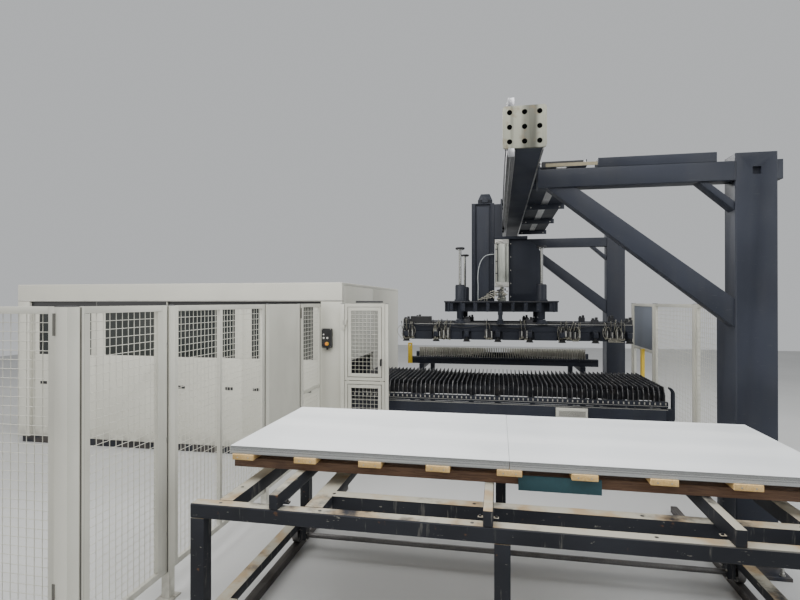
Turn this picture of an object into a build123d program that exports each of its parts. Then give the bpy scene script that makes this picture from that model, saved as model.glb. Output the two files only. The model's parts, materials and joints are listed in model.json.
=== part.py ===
from build123d import *
from math import radians, tan
import os

# Laser cutting cell: an enclosed flat-bed laser with a slatted shuttle pallet, an unloading comb,
# a cantilever gantry with a vacuum loader, a material cart with sheet stock, and a guard fence.
# Millimetres. +X runs along the pallet's travel, away from the enclosure; +Y runs from the cart
# to the comb; +Z is up. The origin is on the floor below the middle of the whole cell.

os.makedirs("parts", exist_ok=True)

# Gaps
seat_gap = 0.3
running_gap = 10

# Floor plan
lane_x = 2405
enclosure_side_x = 415
enclosure_front_y = 210
left_fence_x = 125
right_fence_x = 4435
front_fence_y = -3780

# Enclosure
enclosure_length = 4925
enclosure_depth = 3750
enclosure_height = 2300
panel_thickness = 40
front_recess = 45
plinth_height = 100
plinth_setback = 25
fascia_height = 245
sill_height = 1290
pillar_width = 290
end_pillar_width = 200
mullion_width = 120
bay_count = 4
pane_thickness = 8
port_margin = 25
port_bottom = 600
port_top = 1250

# Machine bed
bed_wall_thickness = 50
bed_wall_height = 1140
bed_floor_thickness = 60
bridge_rail_size = 30

# Cutting bridge and head
bridge_x = -3900
bridge_width = 260
bridge_beam_height = 220
bridge_truck_height = 90
head_radius = 42
head_rise = 120
head_collar_radius = 30
head_collar_length = 76
nozzle_radius = 4
nozzle_base_radius = 14
nozzle_length = 32
nozzle_height = 1052
head_slide_thickness = 50

# Access door
door_thickness = 32
door_pocket = 8
door_frame = 130

# Control box
control_box_x = 222
control_box_width = 130
control_box_height = 245
control_box_depth = 60
control_box_z = 1585
stop_head_radius = 20
stop_head_height = 15
stem_radius = 8
stop_travel = 6
button_radius = 9
button_travel = 4
button_proud = 9
bore_depth = 24

# Shuttle pallet
pallet_right_x = 4335
pallet_length = 3835
pallet_front_y = 380
pallet_depth = 1440
pallet_rail_width = 60
pallet_rail_height = 70
pallet_top = 870
pallet_member_count = 6
skid_outer_gap = 15
skid_inner_gap = 5
slat_count = 66
slat_thickness = 8
slat_top = 1040
slat_setback = 30
slat_nose = 45
slat_nose_rise = 90

# Pallet changer
changer_beam_height = 150
changer_beam_width = 80
changer_beam_top = 790
changer_leg_count = 3
rail_ledge_width = 70
rail_ledge_inset = 50
rail_ledge_height = 40
rail_ledge_top = 755
leg_size = 80
foot_size = 160
foot_thickness = 12
junction_box_width = 346
junction_box_height = 95
junction_box_depth = 45
junction_box_x = 3245
chain_guide_reach = 98
chain_guide_rise = 260
chain_guide_thickness = 28
chain_guide_lip = 53
chain_guide_bend = 90
chain_guide_toe_radius = 48

# Unloading comb
comb_front_y = 2350
comb_width = 3020
comb_depth = 1000
comb_beam_bottom = 1030
comb_beam_height = 112
comb_beam_depth = 90
tine_count = 70
tine_pitch = 38
tine_thickness = 9
tine_height = 158
tine_tail_height = 60
comb_rail_width = 80
comb_rail_height = 80
comb_rail_inset = 240
comb_rail_back_y = 3800
marker_width = 72
marker_thickness = 20
marker_height = 340
marker_hole_radius = 11

# Gantry frames
near_frame_y = -1750
far_frame_y = 3060
column_left_x = 4175
column_width = 295
column_depth = 200
column_top = 3200
column_heel_depth = 360
column_heel_top = 1970
base_plate_margin = 20
base_plate_length = 660
base_plate_thickness = 25
anchor_spacing_x = 235
anchor_spacing_y = 580
anchor_hole_radius = 12
column_port_size = 60
column_port_depth = 30
column_port_x = 4326
column_port_z = 3060
arm_top = 3140
arm_height = 150
arm_depth = 150
arm_stub = 40
arm_hanger_thickness = 20
arm_hanger_height = 260
brace_depth = 120
brace_toe_x = 2771
brace_heel_x = 3000
brace_foot_low = 1853
brace_foot_high = 2077
knee_reach = 257
knee_drop = 230
knee_thickness = 70

# Runway
runway_left_x = 2490
runway_width = 205
runway_bottom = 3140
runway_height = 300
runway_front_y = -2375
runway_back_y = 3460
end_plate_width = 306
end_plate_height = 300
end_plate_thickness = 25
end_plate_left_x = 2407
end_plate_corner = 22
end_plate_hole_radius = 16
end_plate_hole_pitch = 104
rail_plate_thickness = 30
rail_plate_height = 420
rail_tab_width = 45
rail_height = 24
rail_size = 30
rail_inset = 38
rack_height = 40
rack_width = 20
tray_left_x = 2725
tray_right_x = 3125
tray_bottom = 3215
tray_front_y = -1500
tray_back_y = 3000
tray_sheet = 8
tray_lip = 60
tray_bracket_height = 65
tray_bracket_thickness = 10
tray_bracket_count = 4
tray_bracket_first_y = -940
tray_bracket_pitch = 1150
arm_tray_left_x = 3170
arm_tray_right_x = 4047
arm_tray_height = 75

# Loader carriage
loader_front_y = 1310
carriage_front_y = 1250
carriage_back_y = 1850
carriage_plate_thickness = 25
carriage_plate_bottom = 2930
carriage_plate_height = 570
carriage_shelf_thickness = 40
carriage_shelf_right_x = 2780
guide_block_length = 120
mast_left_x = 2003
mast_width = 320
mast_depth = 450
mast_top = 3440
mast_flange = 55
mast_pocket = 25
mast_cap_thickness = 16
motor_width = 196
motor_depth = 220
motor_height = 147
motor_shoulder = 60
hood_left_x = 2530
hood_right_x = 2985
hood_depth = 470
hood_corner = 300
cylinder_left_x = 2335
cylinder_width = 185
cylinder_depth = 170
cylinder_bottom = 2320
cylinder_groove = 12
cylinder_cap_height = 60
knuckle_width = 120
knuckle_eye_radius = 55
knuckle_pin_radius = 22

# Spider plate and guide rods
spider_top = 2062
spider_height = 150
spider_width = 1530
spider_front_y = 1000
spider_depth = 1320
spider_skin = 22
spider_rib = 24
spider_rib_count = 9
rod_spread_x = 1106
rod_front_y = 1110
rod_spacing_y = 1100
rod_radius = 19
rod_top = 2773
rod_disc_radius = 45
rod_disc_height = 12
housing_radius = 67
housing_height = 216
lower_housing_radius = 45
lower_housing_height = 100

# Vacuum frame
vacuum_left_x = 1050
vacuum_right_x = 4115
vacuum_beam_top = 1750
vacuum_beam_height = 110
vacuum_beam_depth = 80
cross_arm_count = 8
cross_arm_width = 60
cross_arm_height = 70
cross_arm_overhang = 70
cup_row_count = 3
cup_radius = 50
cup_height = 30
cup_stem_radius = 14
cup_stem_height = 40
valve_width = 90
valve_depth = 70
valve_height = 95

# Hoses: the loader's two free hoses, each from one fitting to another
fitting_radius = 10
fitting_length = 16
air_hose_radius = 6
vacuum_hose_radius = 5
air_hose_route = (
    (2319, 1280, 2723),
    (2262, 1280, 2723),
    (2188, 1274, 2702),
    (2131, 1267, 2626),
    (2101, 1262, 2518),
    (2090, 1263, 2395),
    (2098, 1267, 2270),
    (2094, 1272, 2150),
    (2094, 1272, 2078),
)
vacuum_hose_route = (
    (1100, 1059, 1795),
    (1100, 1034, 1795),
    (1150, 1020, 1765),
    (1265, 1032, 1724),
    (1400, 1046, 1718),
    (1540, 1050, 1735),
    (1675, 1046, 1728),
    (1800, 1044, 1700),
    (1935, 1048, 1692),
    (2070, 1050, 1712),
    (2205, 1046, 1734),
    (2340, 1048, 1730),
    (2470, 1044, 1705),
    (2605, 1046, 1688),
    (2740, 1050, 1700),
    (2880, 1048, 1728),
    (3015, 1044, 1738),
    (3150, 1048, 1716),
    (3285, 1050, 1690),
    (3420, 1046, 1694),
    (3555, 1044, 1722),
    (3695, 1048, 1740),
    (3820, 1044, 1722),
    (3925, 1034, 1728),
    (4015, 1020, 1765),
    (4065, 1034, 1795),
    (4065, 1059, 1795),
)

# Material cart
cart_length = 3400
cart_front_y = -3540
cart_depth = 1700
cart_tube = 80
cart_top = 930
cart_long_rail_inset = 130
second_rail_y = -3290
channel_x = 1385
channel_width = 100
channel_height = 50
cart_base_bottom = 190
cart_base_height = 60
bearer_width = 50
bearer_height = 80
bearer_pitch = 1140
bearer_shift = -70
wheel_radius = 60
wheel_width = 50
wheel_inset = 240
axle_radius = 20
bearing_thickness = 50
bearing_height = 155
floor_rail_width = 60
floor_rail_height = 60
floor_rail_front_y = -3960
floor_rail_back_y = -700

# Sheet stock
stock_left_x = 725
stock_length = 3425
stock_front_y = -3160
stock_depth = 1210
sheet_stack_height = 50
stack_seam = 2
stack_count = 2
batten_count = 9
batten_pitch = 406
batten_width = 140
batten_height = 35
batten_overhang = 10
stock_beam_height = 55
stock_beam_width = 80
stock_beam_setback = 35
board_left_x = 2487
board_width = 450
board_height = 84
board_thickness = 12

# Guard fence
fence_height = 2025
fence_clearance = 190
post_size = 60
post_foot_size = 120
post_foot_thickness = 10
corner_post_size = 80
stile_width = 60
frame_width = 40
frame_thickness = 30
wire_size = 4
wire_pitch = 60
left_post_y = (-2920, -1410, -500)
left_mullion_y = -2250
front_panel_length = 1000
solid_sheet_thickness = 20
door_mid_rail_z = 985
door_free_y = 165
hinge_radius = 9
hinge_standoff = 1
hinge_length = 60
hinge_low_z = 420
hinge_high_z = 1760
gate_post_x = 451
gate_post_width = 48
gate_free_x = 996
gate_closing_gap = 4
gate_stop_width = 40
gate_plane_y = 115
gate_border = 90
gate_mid_rail_z = 1062
latch_z = 1330
latch_length = 90
latch_radius = 12
right_post_y = (-940, -190, 1260, 2360)
grey_panel_bottom = 1390
fence_marker_y = 1740
fence_marker_width = 80
fence_marker_height = 430
fence_marker_thickness = 15


def middle(low, high):
    return (low + high) / 2


def block(x, y, z):
    """One cuboid between the low and high limits on each axis."""
    with Locations((middle(*x), middle(*y), middle(*z))):
        Box(x[1] - x[0], y[1] - y[0], z[1] - z[0])


def around(centre, width):
    return centre - width / 2, centre + width / 2


def spread(first, last, count):
    """Evenly spaced places from the first to the last."""
    return [first + (last - first) * index / (count - 1) for index in range(count)]


def inner_places(low, high, pitch):
    """Places between two limits at about the given pitch, with a full pitch at each end."""
    count = max(1, round((high - low) / pitch) - 1)
    return [low + (high - low) * (index + 1) / (count + 1) for index in range(count)]


def hose_arcs(route):
    """One arc radius for each corner of a hose's route: 0.45 of the shorter run over the tangent of half the turn."""
    radii = []
    for before, corner, after in zip(route[:-2], route[1:-1], route[2:]):
        arriving = Vector(*corner) - Vector(*before)
        leaving = Vector(*after) - Vector(*corner)
        half_turn = radians(arriving.get_angle(leaving) / 2)
        radii.append(0.45 * min(arriving.length, leaving.length) / tan(half_turn))
    return radii


# Places worked out from the driving dimensions
enclosure_left_x = enclosure_side_x - enclosure_length
enclosure_back_y = enclosure_front_y + enclosure_depth
front_wall = (enclosure_front_y + front_recess, enclosure_front_y + front_recess + panel_thickness)
front_block = (enclosure_front_y, front_wall[1])
side_wall = (enclosure_side_x - panel_thickness, enclosure_side_x)
left_wall = (enclosure_left_x, enclosure_left_x + panel_thickness)
back_wall = (enclosure_back_y - panel_thickness, enclosure_back_y)
fascia_bottom = enclosure_height - fascia_height
pallet_back_y = pallet_front_y + pallet_depth
port = (pallet_front_y - port_margin, pallet_back_y + port_margin)
pillar = (enclosure_side_x - pillar_width, enclosure_side_x)
end_pillar = (enclosure_left_x, enclosure_left_x + end_pillar_width)
bay_width = (pillar[0] - end_pillar[1]) / bay_count
door_bay = (end_pillar[1] + bay_width, end_pillar[1] + 2 * bay_width)
column_right_x = column_left_x + column_width
arm_bottom = arm_top - arm_height
runway_right_x = runway_left_x + runway_width
runway_top = runway_bottom + runway_height
stock_right_x = stock_left_x + stock_length
rod_back_y = rod_front_y + rod_spacing_y
rod_places = [(x, y) for x in around(lane_x, rod_spread_x) for y in (rod_front_y, rod_back_y)]

# Machine bed: plinth and floor pan, side walls with a rail ledge, and the bridge rails
bed_x = (left_wall[1] + running_gap, side_wall[0] - running_gap)
plinth_x = (enclosure_left_x + plinth_setback, enclosure_side_x - plinth_setback)
plinth_y = (enclosure_front_y + front_recess + plinth_setback / 2, enclosure_back_y - plinth_setback)
front_ledge = (pallet_front_y + rail_ledge_inset, pallet_front_y + rail_ledge_inset + rail_ledge_width)
back_ledge = (pallet_back_y - rail_ledge_inset - rail_ledge_width, pallet_back_y - rail_ledge_inset)
front_bed_wall = (front_wall[1] + 5, front_wall[1] + 5 + bed_wall_thickness)
back_bed_wall = (pallet_back_y + 30, pallet_back_y + 30 + bed_wall_thickness)
bed_web_z = (plinth_height + seat_gap, rail_ledge_top - rail_ledge_height)
with BuildPart() as machine_bed:
    block(plinth_x, plinth_y, (0, plinth_height))
    for wall in (front_bed_wall, back_bed_wall):
        block(bed_x, wall, (plinth_height + seat_gap, bed_wall_height))
        block(bed_x, around(middle(*wall), bridge_rail_size),
              (bed_wall_height + seat_gap, bed_wall_height + bridge_rail_size))
    block(bed_x, front_ledge, bed_web_z)
    block(bed_x, back_ledge, bed_web_z)
machine_bed.part.label = "machine_bed"
export_step(machine_bed.part, "parts/machine_bed.step")

# Enclosure panels: each panel is its own folded case, with a thin seam to the next
panel_z = (plinth_height + seat_gap, enclosure_height - panel_thickness - seat_gap)
upper_z = (sill_height + seat_gap, fascia_bottom - seat_gap)
with BuildPart() as enclosure_panels:
    block(pillar, front_block, (plinth_height + seat_gap, fascia_bottom - seat_gap))
    block(end_pillar, front_block, (plinth_height + seat_gap, fascia_bottom - seat_gap))
    for bay in range(bay_count):
        bay_left = end_pillar[1] + bay * bay_width
        if bay_left != door_bay[0]:
            block((bay_left + seat_gap, bay_left + bay_width - seat_gap), front_wall,
                  (plinth_height + seat_gap, sill_height))
            for edge in (bay_left + mullion_width / 2, bay_left + bay_width - mullion_width / 2):
                block(around(edge, mullion_width - 2 * seat_gap), front_wall, upper_z)
    inside_y = (front_block[1] + seat_gap, back_wall[0] - seat_gap)
    block(left_wall, inside_y, panel_z)
    block(side_wall, (inside_y[0], port[0]), panel_z)
    block(side_wall, (port[0] + seat_gap, port[1] - seat_gap), (panel_z[0], port_bottom))
    block(side_wall, (port[0] + seat_gap, port[1] - seat_gap), (port_top, panel_z[1]))
    block(side_wall, (port[1], inside_y[1]), panel_z)
    for left, right in zip(spread(enclosure_left_x, enclosure_side_x, 5)[:-1],
                           spread(enclosure_left_x, enclosure_side_x, 5)[1:]):
        block((left + seat_gap, right - seat_gap), back_wall, panel_z)
        block((left + seat_gap, right - seat_gap), (front_block[1] + seat_gap, enclosure_back_y),
              (enclosure_height - panel_thickness, enclosure_height))
enclosure_panels.part.label = "enclosure_panels"
export_step(enclosure_panels.part, "parts/enclosure_panels.step")

# Fascia: the overhanging band along the top of the front
with BuildPart() as fascia:
    block((enclosure_left_x, enclosure_side_x), front_block, (fascia_bottom, enclosure_height))
    chamfer(fascia.edges().filter_by(Axis.X).sort_by(Axis.Y)[:2], 8)
fascia.part.label = "fascia"
export_step(fascia.part, "parts/fascia.step")

# Windows: tinted panes between the mullions
pane_y = (front_wall[0] + 15, front_wall[0] + 15 + pane_thickness)
with BuildPart() as windows:
    for bay in range(bay_count):
        bay_left = end_pillar[1] + bay * bay_width
        if bay_left != door_bay[0]:
            block((bay_left + mullion_width + seat_gap, bay_left + bay_width - mullion_width - seat_gap),
                  pane_y, upper_z)
windows.part.label = "windows"
export_step(windows.part, "parts/windows.step")

# Access door: slides left behind the fascia's overhang, in front of the fixed panels
door_y = (enclosure_front_y + 6, enclosure_front_y + 6 + door_thickness)
door_z = (plinth_height + running_gap, fascia_bottom - seat_gap)
with BuildPart() as access_door:
    block(door_bay, door_y, door_z)
    with BuildSketch(Plane.XZ.offset(-door_y[0])) as window_pocket:
        with Locations((middle(*door_bay), middle(sill_height, door_z[1] - door_frame))):
            RectangleRounded(bay_width - 2 * door_frame, door_z[1] - door_frame - sill_height, 40)
    extrude(amount=-door_pocket, mode=Mode.SUBTRACT)
    with BuildSketch(Plane.XZ.offset(-door_y[0])) as grip_pocket:
        with Locations((door_bay[1] - door_frame / 2, sill_height - 160)):
            SlotOverall(240, 44, rotation=90)
    extrude(amount=-2 * door_pocket, mode=Mode.SUBTRACT)
access_door.part.label = "access_door"
export_step(access_door.part, "parts/access_door.step")

# Cutting bridge: two end trucks on the bed's rails and a deep beam across them
truck_z = (bed_wall_height + bridge_rail_size + seat_gap,
           bed_wall_height + bridge_rail_size + bridge_truck_height)
beam_z = (truck_z[1], truck_z[1] + bridge_beam_height)
bridge_y = (front_bed_wall[0] + 2, back_bed_wall[1] - 2)
with BuildPart() as cutting_bridge:
    for wall in (front_bed_wall, back_bed_wall):
        block(around(bridge_x, 2 * bridge_width), (wall[0] + 2, wall[1] - 2), truck_z)
    with BuildSketch(Plane.XZ.offset(-bridge_y[0])) as bridge_section:
        with Locations((bridge_x, middle(*beam_z))):
            Rectangle(bridge_width, bridge_beam_height)
            Rectangle(bridge_width - 60, bridge_beam_height - 60, mode=Mode.SUBTRACT)
    extrude(amount=-(bridge_y[1] - bridge_y[0]))
cutting_bridge.part.label = "cutting_bridge"
export_step(cutting_bridge.part, "parts/cutting_bridge.step")

# Head slide: the plate that runs along the bridge beam and guides the head
slide_x = (bridge_x + bridge_width / 2 + seat_gap,
           bridge_x + bridge_width / 2 + seat_gap + head_slide_thickness)
head_y = pallet_front_y + 200
with BuildPart() as head_slide:
    block(slide_x, around(head_y, 180), (beam_z[0] - 30, beam_z[1] + 60))
head_slide.part.label = "head_slide"
export_step(head_slide.part, "parts/head_slide.step")

# Cutting head: a stepped barrel with a nozzle cone
head_x = slide_x[1] + seat_gap + head_radius
with BuildPart() as cutting_head:
    with BuildSketch(Plane.XZ.offset(-head_y)) as head_profile:
        with BuildLine() as head_outline:
            Polyline(
                (head_x, nozzle_height),
                (head_x + nozzle_radius, nozzle_height),
                (head_x + nozzle_base_radius, nozzle_height + nozzle_length),
                (head_x + head_collar_radius, nozzle_height + nozzle_length),
                (head_x + head_collar_radius, nozzle_height + nozzle_length + head_collar_length),
                (head_x + head_radius, nozzle_height + nozzle_length + head_collar_length + 12),
                (head_x + head_radius, beam_z[1] + head_rise),
                (head_x, beam_z[1] + head_rise),
                close=True,
            )
        make_face()
    revolve(axis=Axis((head_x, head_y, 0), (0, 0, 1)))
cutting_head.part.label = "cutting_head"
export_step(cutting_head.part, "parts/cutting_head.step")

# Control box on the pillar, with bores for the stop and two buttons
box_x = around(control_box_x, control_box_width)
box_z = around(control_box_z, control_box_height)
box_front_y = enclosure_front_y - control_box_depth
stop_place = (box_x[0] + 72, box_z[0] + 52)
button_places = ((box_x[0] + 30, box_z[0] + 126), (box_x[0] + 78, box_z[0] + 126))
with BuildPart() as control_box:
    block(box_x, (box_front_y, enclosure_front_y), box_z)
    fillet(control_box.edges().filter_by(Axis.Y), 8)
    with BuildSketch(Plane.XZ.offset(-box_front_y)) as control_bores:
        with Locations(stop_place):
            Circle(stem_radius + seat_gap)
        with Locations(*button_places):
            Circle(button_radius + seat_gap)
    extrude(amount=-bore_depth, mode=Mode.SUBTRACT)
control_box.part.label = "control_box"
export_step(control_box.part, "parts/control_box.step")

# Emergency stop: a mushroom head on a stem that slides into the box
stop_back_y = box_front_y - stop_travel - 4
stem_end_y = box_front_y + bore_depth - stop_travel - 4
with BuildPart() as emergency_stop:
    with BuildSketch(Plane.XZ.offset(-stem_end_y)) as stop_stem:
        with Locations(stop_place):
            Circle(stem_radius)
    extrude(amount=stem_end_y - stop_back_y)
    with BuildSketch(Plane.XZ.offset(-stop_back_y)) as stop_head:
        with Locations(stop_place):
            Circle(stop_head_radius)
    extrude(amount=stop_head_height)
    fillet(emergency_stop.edges().filter_by(GeomType.CIRCLE).sort_by(Axis.Y)[0], 5)
emergency_stop.part.label = "emergency_stop"
export_step(emergency_stop.part, "parts/emergency_stop.step")

# Start and stop buttons
button_end_y = box_front_y + bore_depth - button_travel - 4
with BuildPart() as start_button:
    with BuildSketch(Plane.XZ.offset(-button_end_y)) as start_face:
        with Locations(button_places[0]):
            Circle(button_radius)
    extrude(amount=button_end_y - box_front_y + button_proud)
start_button.part.label = "start_button"
export_step(start_button.part, "parts/start_button.step")

with BuildPart() as stop_button:
    with BuildSketch(Plane.XZ.offset(-button_end_y)) as stop_face:
        with Locations(button_places[1]):
            Circle(button_radius)
    extrude(amount=button_end_y - box_front_y + button_proud)
stop_button.part.label = "stop_button"
export_step(stop_button.part, "parts/stop_button.step")

# Pallet changer: front and back beams on legs, with cross beams
changer_x = (enclosure_side_x + 25, pallet_right_x - 35)
changer_front = (front_ledge[0] - changer_beam_width, front_ledge[0])
changer_back = (back_ledge[1], back_ledge[1] + changer_beam_width)
changer_beam_z = (changer_beam_top - changer_beam_height, changer_beam_top)
leg_places = spread(changer_x[0] + leg_size / 2, changer_x[1] - leg_size / 2, changer_leg_count)
with BuildPart() as changer_frame:
    for beam in (changer_front, changer_back):
        block(changer_x, beam, changer_beam_z)
        for leg_x in leg_places:
            leg_y = around(middle(*beam), leg_size)
            block(around(leg_x, leg_size), leg_y, (foot_thickness + seat_gap, changer_beam_z[0] - seat_gap))
            block(around(leg_x, foot_size), around(middle(*beam), foot_size), (0, foot_thickness))
    for leg_x in leg_places:
        block(around(leg_x, leg_size), (changer_front[1] + seat_gap, changer_back[0] - seat_gap),
              (changer_beam_z[0] - leg_size / 2, changer_beam_z[0] + leg_size / 2))
    chamfer(changer_frame.edges().filter_by(Axis.X).group_by(SortBy.LENGTH)[-1], 6)
changer_frame.part.label = "changer_frame"
export_step(changer_frame.part, "parts/changer_frame.step")

# Pallet rails: ledges that run from the bed, through the port, along the changer
with BuildPart() as pallet_rails:
    for ledge in (front_ledge, back_ledge):
        block((bed_x[0], changer_x[1]), ledge, (rail_ledge_top - rail_ledge_height, rail_ledge_top))
pallet_rails.part.label = "pallet_rails"
export_step(pallet_rails.part, "parts/pallet_rails.step")

# Junction box on the changer's front beam
with BuildPart() as junction_box:
    block(around(junction_box_x, junction_box_width), (changer_front[0] - junction_box_depth, changer_front[0]),
          (changer_beam_z[0] + 25, changer_beam_z[0] + 25 + junction_box_height))
    chamfer(junction_box.edges().filter_by(Axis.Y), 6)
    block(around(junction_box_x, junction_box_width + 24), (changer_front[0] - 6, changer_front[0]),
          (changer_beam_z[0] + 13, changer_beam_z[0] + 37 + junction_box_height))
junction_box.part.label = "junction_box"
export_step(junction_box.part, "parts/junction_box.step")

# Chain guide: a hooked bracket on the end of the changer's front beam, bent over the pallet's end
guide_right_x = changer_x[1] + chain_guide_reach
guide_inner_x = guide_right_x - chain_guide_thickness
guide_lip_x = guide_right_x - chain_guide_lip
guide_top = changer_beam_top + chain_guide_rise
guide_toe_z = changer_beam_z[0] + chain_guide_toe_radius
with BuildPart() as chain_guide:
    with BuildSketch(Plane.XZ.offset(-changer_front[1])) as guide_profile:
        with BuildLine() as guide_outline:
            toe = Line((changer_x[1], changer_beam_z[0]),
                       (guide_right_x - chain_guide_toe_radius, changer_beam_z[0]))
            heel = RadiusArc(toe @ 1, (guide_right_x, guide_toe_z), -chain_guide_toe_radius)
            spine = Line(heel @ 1, (guide_right_x, guide_top - chain_guide_bend))
            crown = RadiusArc(spine @ 1, (guide_lip_x, guide_top), -chain_guide_bend)
            lip = Line(crown @ 1, (guide_lip_x, guide_top - chain_guide_thickness))
            throat = RadiusArc(lip @ 1, (guide_inner_x, guide_top - chain_guide_bend),
                               chain_guide_bend - chain_guide_thickness)
            Polyline(throat @ 1, (guide_inner_x, changer_beam_top), (changer_x[1], changer_beam_top), toe @ 0)
        make_face()
    extrude(amount=changer_beam_width)
chain_guide.part.label = "chain_guide"
export_step(chain_guide.part, "parts/chain_guide.step")

# Pallet frame: side rails, cross members and skids that run on the ledges
pallet_x = (pallet_right_x - pallet_length, pallet_right_x)
pallet_z = (pallet_top - pallet_rail_height, pallet_top)
front_rail = (pallet_front_y, pallet_front_y + pallet_rail_width)
back_rail = (pallet_back_y - pallet_rail_width, pallet_back_y)
member_places = spread(pallet_x[0] + pallet_rail_width / 2, pallet_x[1] - pallet_rail_width / 2,
                       pallet_member_count)
with BuildPart() as pallet_frame:
    for rail in (front_rail, back_rail):
        block(pallet_x, rail, pallet_z)
    for member_x in member_places:
        member = around(member_x, pallet_rail_width)
        block(member, (front_rail[1] + seat_gap, back_rail[0] - seat_gap), (pallet_z[0], pallet_z[1] - 10))
        for skid in ((front_ledge[0] + skid_outer_gap, front_ledge[1] - skid_inner_gap),
                     (back_ledge[0] + skid_inner_gap, back_ledge[1] - skid_outer_gap)):
            block(member, skid, (rail_ledge_top + seat_gap, pallet_z[0]))
pallet_frame.part.label = "pallet_frame"
export_step(pallet_frame.part, "parts/pallet_frame.step")

# Slats: upright plates on edge with bevelled noses, one sketch repeated along the pallet
slat_y = (pallet_front_y + slat_setback, pallet_back_y - slat_setback)
slat_places = spread(pallet_x[0] + slat_setback, pallet_x[1] - slat_setback, slat_count)
with BuildPart() as slats:
    for slat_x in slat_places:
        with BuildSketch(Plane.YZ.offset(slat_x - slat_thickness / 2)):
            with BuildLine():
                Polyline(
                    (slat_y[0], pallet_top),
                    (slat_y[0], slat_top - slat_nose_rise),
                    (slat_y[0] + slat_nose, slat_top),
                    (slat_y[1] - slat_nose, slat_top),
                    (slat_y[1], slat_top - slat_nose_rise),
                    (slat_y[1], pallet_top),
                    close=True,
                )
            make_face()
    extrude(amount=slat_thickness)
slats.part.label = "slats"
export_step(slats.part, "parts/slats.step")

# Unloading comb: front and back beams joined by side beams that run on the comb's rails
comb_x = around(lane_x, comb_width)
comb_back_y = comb_front_y + comb_depth
comb_beam_z = (comb_beam_bottom, comb_beam_bottom + comb_beam_height)
comb_side_x = (comb_x[0] + comb_rail_inset, comb_x[1] - comb_rail_inset)
with BuildPart() as comb_frame:
    block(comb_x, (comb_front_y, comb_front_y + comb_beam_depth), comb_beam_z)
    block(comb_x, (comb_back_y - comb_beam_depth, comb_back_y), comb_beam_z)
    for side_x in comb_side_x:
        block(around(side_x, comb_rail_width),
              (comb_front_y + comb_beam_depth + seat_gap, comb_back_y - comb_beam_depth - seat_gap), comb_beam_z)
    chamfer(comb_frame.edges().filter_by(Axis.X).group_by(SortBy.LENGTH)[-1], 6)
comb_frame.part.label = "comb_frame"
export_step(comb_frame.part, "parts/comb_frame.step")

# Comb tines: upright bars, tall at the front and lower towards the back
tine_half_span = tine_pitch * (tine_count - 1) / 2
with BuildPart() as comb_tines:
    for tine_x in spread(lane_x - tine_half_span, lane_x + tine_half_span, tine_count):
        with BuildSketch(Plane.YZ.offset(tine_x - tine_thickness / 2)):
            with BuildLine():
                Polyline(
                    (comb_front_y + 8, comb_beam_z[1]),
                    (comb_front_y + 8, comb_beam_z[1] + tine_height),
                    (comb_front_y + comb_beam_depth, comb_beam_z[1] + tine_height),
                    (comb_back_y, comb_beam_z[1] + tine_tail_height),
                    (comb_back_y, comb_beam_z[1]),
                    close=True,
                )
            make_face()
    extrude(amount=tine_thickness)
comb_tines.part.label = "comb_tines"
export_step(comb_tines.part, "parts/comb_tines.step")

# Comb rails: two runways on legs behind the pallet
comb_rail_top = comb_beam_bottom - seat_gap
comb_rail_y = (comb_front_y - 60, comb_rail_back_y)
with BuildPart() as comb_rails:
    for side_x in comb_side_x:
        block(around(side_x, comb_rail_width), comb_rail_y, (comb_rail_top - comb_rail_height, comb_rail_top))
        for leg_y in (comb_rail_y[0] + leg_size / 2, comb_rail_y[1] - leg_size / 2):
            block(around(side_x, leg_size), around(leg_y, leg_size),
                  (foot_thickness + seat_gap, comb_rail_top - comb_rail_height - seat_gap))
            block(around(side_x, foot_size), around(leg_y, foot_size), (0, foot_thickness))
    for leg_y in (comb_rail_y[0] + leg_size / 2, comb_rail_y[1] - leg_size / 2):
        block((comb_side_x[0] + leg_size / 2 + seat_gap, comb_side_x[1] - leg_size / 2 - seat_gap),
              around(leg_y, leg_size), (foot_size, foot_size + leg_size))
comb_rails.part.label = "comb_rails"
export_step(comb_rails.part, "parts/comb_rails.step")

# Comb marker: a yellow plate with one hole at the comb's left end
marker_x = (comb_x[0] + 5, comb_x[0] + 5 + marker_width)
marker_y = (comb_front_y - marker_thickness, comb_front_y)
marker_z = (comb_beam_z[0], comb_beam_z[0] + marker_height)
with BuildPart() as comb_marker:
    block(marker_x, marker_y, marker_z)
    with BuildSketch(Plane.XZ.offset(-marker_y[0])) as marker_hole:
        with Locations((middle(*marker_x), marker_z[1] - marker_width / 2)):
            Circle(marker_hole_radius)
    extrude(amount=-marker_thickness, mode=Mode.SUBTRACT)
comb_marker.part.label = "comb_marker"
export_step(comb_marker.part, "parts/comb_marker.step")

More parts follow.
